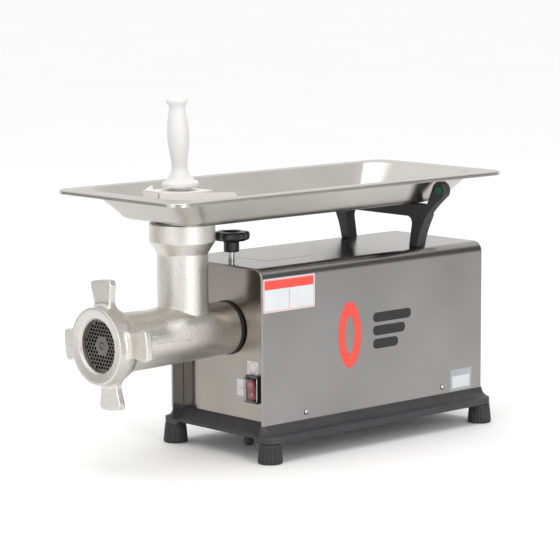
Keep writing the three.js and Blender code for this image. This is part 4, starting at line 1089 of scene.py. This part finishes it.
def rocker_marks_shape():
    """A plain bar below and a plain ring above."""
    x, z, front = SWITCH["x"], SWITCH["z"], SWITCH["front"]
    bar = soft_box((x - 0.5, x + 0.5), (front + 0.7, front + 1.6), (z - 9.5, z - 5), 0.15, 2)
    ring = plate(circle(x, z + 7, 2.6, 32), [circle(x, z + 7, 1.8, 32)], front - 1.9, front - 0.6,
                 "XZ", 0.1, 1)
    return merge(bar, ring)


def boot_shape():
    """A clear soft cover over the switch: a shell and its lining, joined at the rim."""
    x, z = SWITCH["x"], SWITCH["z"]
    front, face = SWITCH["front"], SWITCH["front"] - SWITCH["proud"]
    outer = [(0.2, front - 0.3), (0.3, front - 1.0), (0.9, front - 1.6), (2.4, front - 5.2),
             (2.9, front - 6.1), (3.7, face)]
    inner = [(4.2, face + 0.9), (3.6, front - 5.4), (3.3, front - 4.8), (1.8, front - 1.4),
             (1.5, front - 0.3)]
    top = [(x + (px - x) * 0.5, face, z + (pz - z) * 0.5) for px, _, pz in switch_ring(3.7, 0)]
    low = [(px, face + 0.9, pz) for px, _, pz in top]
    shell = skin([*[switch_ring(inset, y) for inset, y in outer], top], caps=False)
    lining = skin([low, *[switch_ring(inset, y) for inset, y in inner]], caps=False)
    points, faces = merge(shell, lining)
    count = len(top)
    outer_last = len(outer) * count
    inner_first = outer_last + count
    inner_last = inner_first + len(inner) * count
    faces.append(tuple(range(outer_last, outer_last + count)))
    faces.append(tuple(reversed(range(inner_first, inner_first + count))))
    for i in range(count):
        j = (i + 1) % count
        faces.append((i, j, inner_last + j, inner_last + i))
    return points, faces


def make_switch():
    add("switch_bezel", switch_body_shape(), "black_plastic", "frame", "switch_body", sharp=35)
    add("switch_rocker_cap", rocker_shape(), "red_plastic", "rocker", "switch_rocker", sharp=35)
    add("rocker_marks", rocker_marks_shape(), "white_plastic", "rocker")
    add("switch_boot_shell", boot_shape(), "clear_plastic", "frame", "switch_boot", sharp=50)


# ---------------------------------------------------------------- tray, guard and plunger
TRAY_LEVELS = [
    (70, 232, 22, 333.5), (74, 236, 24.5, 333.75), (78, 240, 27, 334.6), (81.6, 243.6, 29.6, 336.0),
    (84.5, 246.5, 32, 337.9), (86.8, 248.8, 33.6, 340.3), (89, 251, 35, 343.4),
    (96, 261.6, 38, 352.8), (103, 272.3, 41, 362.4), (109.2, 281.8, 43.5, 370.6),
    (110, 283, 44, 371.9), (110.8, 284.1, 44.8, 373.0), (112.2, 285.6, 46, 373.6),
    (114, 287.5, 45, 373.7), (127.5, 311.5, 24, 373.7), (129.4, 313.4, 23, 373.6),
    (130.6, 314.6, 24, 373.0), (131, 315, 24, 372.0), (131, 315, 24, 368.6),
]


def tray_ring(half_x, half_y, radius, z, steps=10):
    middle = TRAY["rear"] - TRAY["half_y"]
    line = rounded_rect(-half_x, half_x, middle - half_y, middle + half_y, radius, steps)
    return [(x, y, z) for x, y in line]


def tray_under(levels):
    """The underside, one sheet thickness behind the upper surface at each level."""
    under = []
    for i, (half_x, half_y, radius, z) in enumerate(levels):
        before, after = levels[max(i - 1, 0)], levels[min(i + 1, len(levels) - 1)]
        out, rise = after[0] - before[0], after[3] - before[3]
        length = math.hypot(out, rise)
        shift_out, shift_up = SHEET * rise / length, -SHEET * out / length
        under.append((half_x + shift_out, half_y + shift_out, radius, z + shift_up))
    return under


def filled(outer, inner, z):
    """A flat sheet between an outer outline and a hole, at one height."""
    sheet = bmesh.new()
    edges = []
    for line in (outer, inner):
        verts = [sheet.verts.new((x, y, z)) for x, y in line]
        edges += [sheet.edges.new((a, b)) for a, b in zip(verts, verts[1:] + verts[:1])]
    bmesh.ops.triangle_fill(sheet, use_beauty=True, edges=edges)
    return shape_from(sheet)


def tray_shape():
    """A pressed pan with a rolled rim and a drawn neck that drops into the collar."""
    under = tray_under(TRAY_LEVELS)
    under[-1] = (TRAY["half_x"] - SHEET, TRAY["half_y"] - SHEET, 22.5, 368.6)
    pan = skin([tray_ring(*level) for level in [*TRAY_LEVELS, *reversed(under)]], caps=False)
    bore, floor, fillet = NECK["bore"], TRAY["floor"], 4.0
    neck = [(bore + fillet - fillet * math.sin(a), floor - fillet + fillet * math.cos(a))
            for a in np.linspace(0, math.pi / 2, 8)]
    thin = fillet - SHEET
    neck += [(bore, NECK["bottom"] + 0.3), (bore + 0.4, NECK["bottom"]),
             (bore + 1.2, NECK["bottom"]), (bore + SHEET, NECK["bottom"] + 0.4)]
    neck += [(bore + fillet - thin * math.sin(a), floor - fillet + thin * math.cos(a))
             for a in np.linspace(math.pi / 2, 0, 8)]
    count = 96
    rings = [[(x, y, z) for x, y in circle(0, THROAT_Y, r, count)] for r, z in neck]
    hole = circle(0, THROAT_Y, bore + fillet, count)
    floors = []
    for level in (TRAY_LEVELS[0], under[0]):
        outer = [(x, y) for x, y, _ in tray_ring(*level)]
        floors.append(filled(outer, hole, level[3]))
    return merge(pan, skin(rings, caps=False), *floors)


def guard_shape():
    """A folded sheet guard over the throat, with fences and a front flap."""
    half, front, rear, top = (GUARD[k] for k in ("half_x", "front", "rear", "top"))
    floor = TRAY["floor"] + 0.4
    flap_y = -126
    near = [(flap_y, 357.4), (-97, floor + 0.8), (-90, floor), (12, floor), (13, floor + 1),
            (13, 361.6)]
    near += curve_to((13, 361.6), (13, 367.4), (7, 368), 6)
    near += [(flap_y, 377)]
    far = [(front, floor + 0.8), (-90, floor), (9, floor), (10, floor + 1), (10, 366), (rear, top),
           (front + 15, top), (front + 15, 379.2), (front + 13, 379.7), (front - 1.5, 373)]
    hole = circle(PLUNGER["seat"][0], PLUNGER["seat"][1], PLUNGER["shaft_r"] + 1.2, 48)
    deck = plate(rounded_rect(-half - SHEET + 0.1, half + SHEET - 0.1, front, rear, 1.2, 4), [hole],
                 top - SHEET, top, "XY", 0.3, 2)
    flap = plate([(0.5, 357.4), (half + SHEET, 357.4), (half + SHEET, 377), (1.5, 376.6)], [],
                 flap_y, flap_y + SHEET, "XZ", 0.3, 2)
    return merge(
        plate(near, [], half, half + SHEET, "YZ", 0.35, 2),
        plate(far, [], -half - SHEET, -half, "YZ", 0.35, 2), deck, flap)


def plunger_shape():
    """A turned plastic pusher: shaft, boss, flange, waisted grip and rounded cap."""
    height, shaft, shaft_r = PLUNGER["height"], PLUNGER["shaft"], PLUNGER["shaft_r"]
    low = [(0, -shaft), (shaft_r, -shaft, 2), (shaft_r, 0, 0.4), (15, 0, 0.8), (15, 4.3, 0.6),
           (24.6, 4.3, 1.6), (25.3, 7.5, 2.4), (24.6, 10, 2), (22, 11)]
    grip = smooth_line([(22, 11), (18.5, 13.6), (14.6, 18.6), (11.7, 24.4), (10.6, 30.2),
                        (11.2, 39), (12.8, 50), (14.3, 61), (15, 73), (14.5, 85), (12.9, 98),
                        (11.3, 107.6), (11.0, 111.2), (12.2, 115.2), (14.2, 118.6)], 5)
    cap = rounded([(14.2, 118.6), (14.8, 120.6, 1.6), (14.2, height - 1.4, 2.4),
                   (10.5, height, 2.4), (0, height)], 1.6)
    points, faces = lathe([*rounded(low, 1.0), *grip[1:], *cap[1:]], "Z", (0, 0, 0), 80)
    lean = np.array(Matrix.Rotation(math.radians(PLUNGER["lean"]), 3, "X"))
    return points @ lean.T + np.array(PLUNGER["seat"]), faces


def make_tray():
    add("steel_tray", tray_shape(), "tray", "tray", "tray", "tray_neck", sharp=45)
    add("steel_guard", guard_shape(), "guard", "tray", "throat_guard", sharp=35)
    add("meat_pusher", plunger_shape(), "white_plastic", "plunger",
        "plunger", sharp=60, flat_faces=False)


# ---------------------------------------------------------------- tray bracket
def bracket_outline(with_arm):
    boss_x, boss_z = BRACKET["boss"]
    floor = COVER["top"] + 0.3
    line = [(-2, 331), (-2, 312.5), (58, 312.5)]
    line += curve_to((58, 312.5), (67.6, 311.5), (67.4, 301), 6)
    line += [(62, floor), (79, floor)]
    line += curve_to((79, floor), (82.5, 289), (93, 308), 8)
    if with_arm:
        line += curve_to((93, 308), (101.5, 323.5), (boss_x + 10.2, boss_z - 7.7), 8)
        line += arc(boss_x, boss_z, BRACKET["boss_r"], -37, 154, 20)
        line += [(97, 331)]
    else:
        line += [(97, 316), (85, 331)]
    return line


def bracket_field(x, y, z):
    """Two curved arms on legs, joined by a bar, with a socket for each plug."""
    side, front = abs(x), BRACKET["front"]
    arm = common(polygon_field(side, z, bracket_outline(True)),
                 abs(y - front - BRACKET["arm"] / 2) - BRACKET["arm"] / 2, 1.5)
    leg = common(polygon_field(side, z, bracket_outline(False)),
                 abs(y - front - BRACKET["leg"] / 2) - BRACKET["leg"] / 2, 1.5)
    socket = np.maximum(np.hypot(side - BRACKET["boss"][0], z - BRACKET["boss"][1]) - 6.4,
                        y - front - 4)
    return common(blended(arm, leg, 0.8), -socket, 0.3)


def make_bracket():
    front, (boss_x, boss_z) = BRACKET["front"], BRACKET["boss"]
    add_cast("bracket_casting", bracket_field, (-134, front, 268), (134, front + 18, 367), 1.2,
             "black_casting", "frame", "tray_bracket")
    profile = rounded([(0, front - 0.3), (6, front - 0.3, 0.9), (6, front + 3.6, 0.4),
                       (0, front + 3.6)], 0.5)
    for side, x in (("right", boss_x), ("left", -boss_x)):
        add(f"round_plug_{side}", lathe(profile, "Y", (x, 0, boss_z), 40), "green_plastic", "frame",
            f"bracket_plug_{side}")


# ---------------------------------------------------------------- pieces inside, kept from the frame
INSIDE = {
    "iron": ["chassis_plate", "output_gear", "idler_gear", "motor_cradle"],
    "bright_steel": ["idler_pinion", "motor_pinion", "drive_shaft", "drive_bearing_front",
                     "drive_bearing_rear", "idler_shaft", "idler_bearing_front",
                     "idler_bearing_rear", "motor_shaft", "motor_bearing_front",
                     "motor_bearing_rear"],
    "aluminium": ["gearbox_cover", "gearbox_body", "motor_front_bell", "motor_rear_bell",
                  "run_capacitor"],
    "cover": ["motor_housing"],
    "lamination": ["motor_stator", "motor_rotor"],
    "seal": ["shaft_seal"],
    "black_plastic": ["motor_fan"],
    "white_plastic": ["terminal_block"],
}


def finish_inside():
    """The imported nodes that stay: each gets its finish and a fine bevel."""
    for finish, nodes in INSIDE.items():
        for node in nodes:
            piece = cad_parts[node]
            piece.data.materials.clear()
            piece.data.materials.append(FINISH[finish])
            weld = piece.modifiers.new("weld", "WELD")
            weld.merge_threshold = 0.001 * MM
            edge = piece.modifiers.new("edge", "BEVEL")
            edge.width = 0.4 * MM
            edge.segments = 2
            edge.limit_method = "ANGLE"
            edge.angle_limit = math.radians(40)
            edge.harden_normals = False


# ---------------------------------------------------------------- stage, light and camera
def stage_sheet(name, half_u, half_v, grey, dark, light, clouds):
    """A matt grey sheet, faintly clouded."""
    corners = [(-half_u, -half_v, 0), (half_u, -half_v, 0), (half_u, half_v, 0), (-half_u, half_v, 0)]
    sheet = new_object(name, plain_mesh(name, (corners, [(0, 1, 2, 3)])))
    material, shader = new_material(name, (grey,) * 3, 0.9)
    tint(material, shader, grain(material, clouds, detail=2.0), (dark,) * 3, (light,) * 3)
    sheet.data.materials.append(material)
    return sheet


def card(name, place, target, size, level):
    """A grey flag out of the camera's sight, which the metal reflects."""
    flag = stage_sheet(name, size[0] / 2, size[1] / 2, level, level, level + 6, 3)
    flag.location = place
    flag.rotation_euler = (Vector(target) - Vector(place)).to_track_quat("Z", "Y").to_euler()
    flag.visible_camera = False


def make_stage():
    floor = stage_sheet("floor", 30, 30, 250, 249, 251, 2)
    card("flag_side", (1.05, 1.2, 0.72), (0.1, 0.25, 0.2), (1.3, 1.0), 105)
    card("flag_camera", (3.1, -2.8, 1.0), (0, 0, 0.2), (2.0, 1.6), 150)
    card("flag_front", (-1.4, -1.55, 0.5), (0, -0.2, 0.2), (1.8, 1.0), 150)
    world = bpy.data.worlds.new("studio")
    bpy.context.scene.world = world
    world.use_nodes = True
    background = world.node_tree.nodes["Background"]
    background.inputs["Color"].default_value = (1.0, 1.0, 1.0, 1)
    background.inputs["Strength"].default_value = 1.0


def area_light(name, place, target, size, power):
    data = bpy.data.lights.new(name, "AREA")
    data.shape = "RECTANGLE"
    data.size, data.size_y = size
    data.energy = power
    light = new_object(name, data)
    light.location = place
    light.rotation_euler = (Vector(target) - Vector(place)).to_track_quat("-Z", "Y").to_euler()
    light.visible_camera = False


def make_lights():
    area_light("key", (0.6, -2.4, 1.3), (0, -0.15, 0.22), (1.0, 1.4), 8)
    area_light("strip", (2.2, -0.4, 0.9), (0, -0.15, 0.25), (0.7, 1.5), 14)
    area_light("top", (0, 0, 2.8), (0, 0, 0), (2.2, 2.2), 24)


def make_camera():
    target = Vector((0, 2.0, 232.1)) * MM
    place = Vector((2597.2, -2370.3, 737.1)) * MM
    data = bpy.data.cameras.new("camera")
    data.sensor_width = 36
    data.lens = 161.37
    data.clip_end = 100
    camera = new_object("camera", data)
    look = (target - place).to_track_quat("-Z", "Y").to_matrix()
    roll = Matrix.Rotation(math.radians(-0.22), 3, "Z")
    camera.matrix_world = Matrix.Translation(place) @ (look @ roll).to_4x4()
    bpy.context.scene.camera = camera
    bpy.context.scene.view_settings.view_transform = "Standard"


make_camera()
make_stage()
make_lights()
make_base()
make_housing()
make_labels()
make_head()
make_clamp()
make_switch()
make_tray()
make_bracket()
finish_inside()
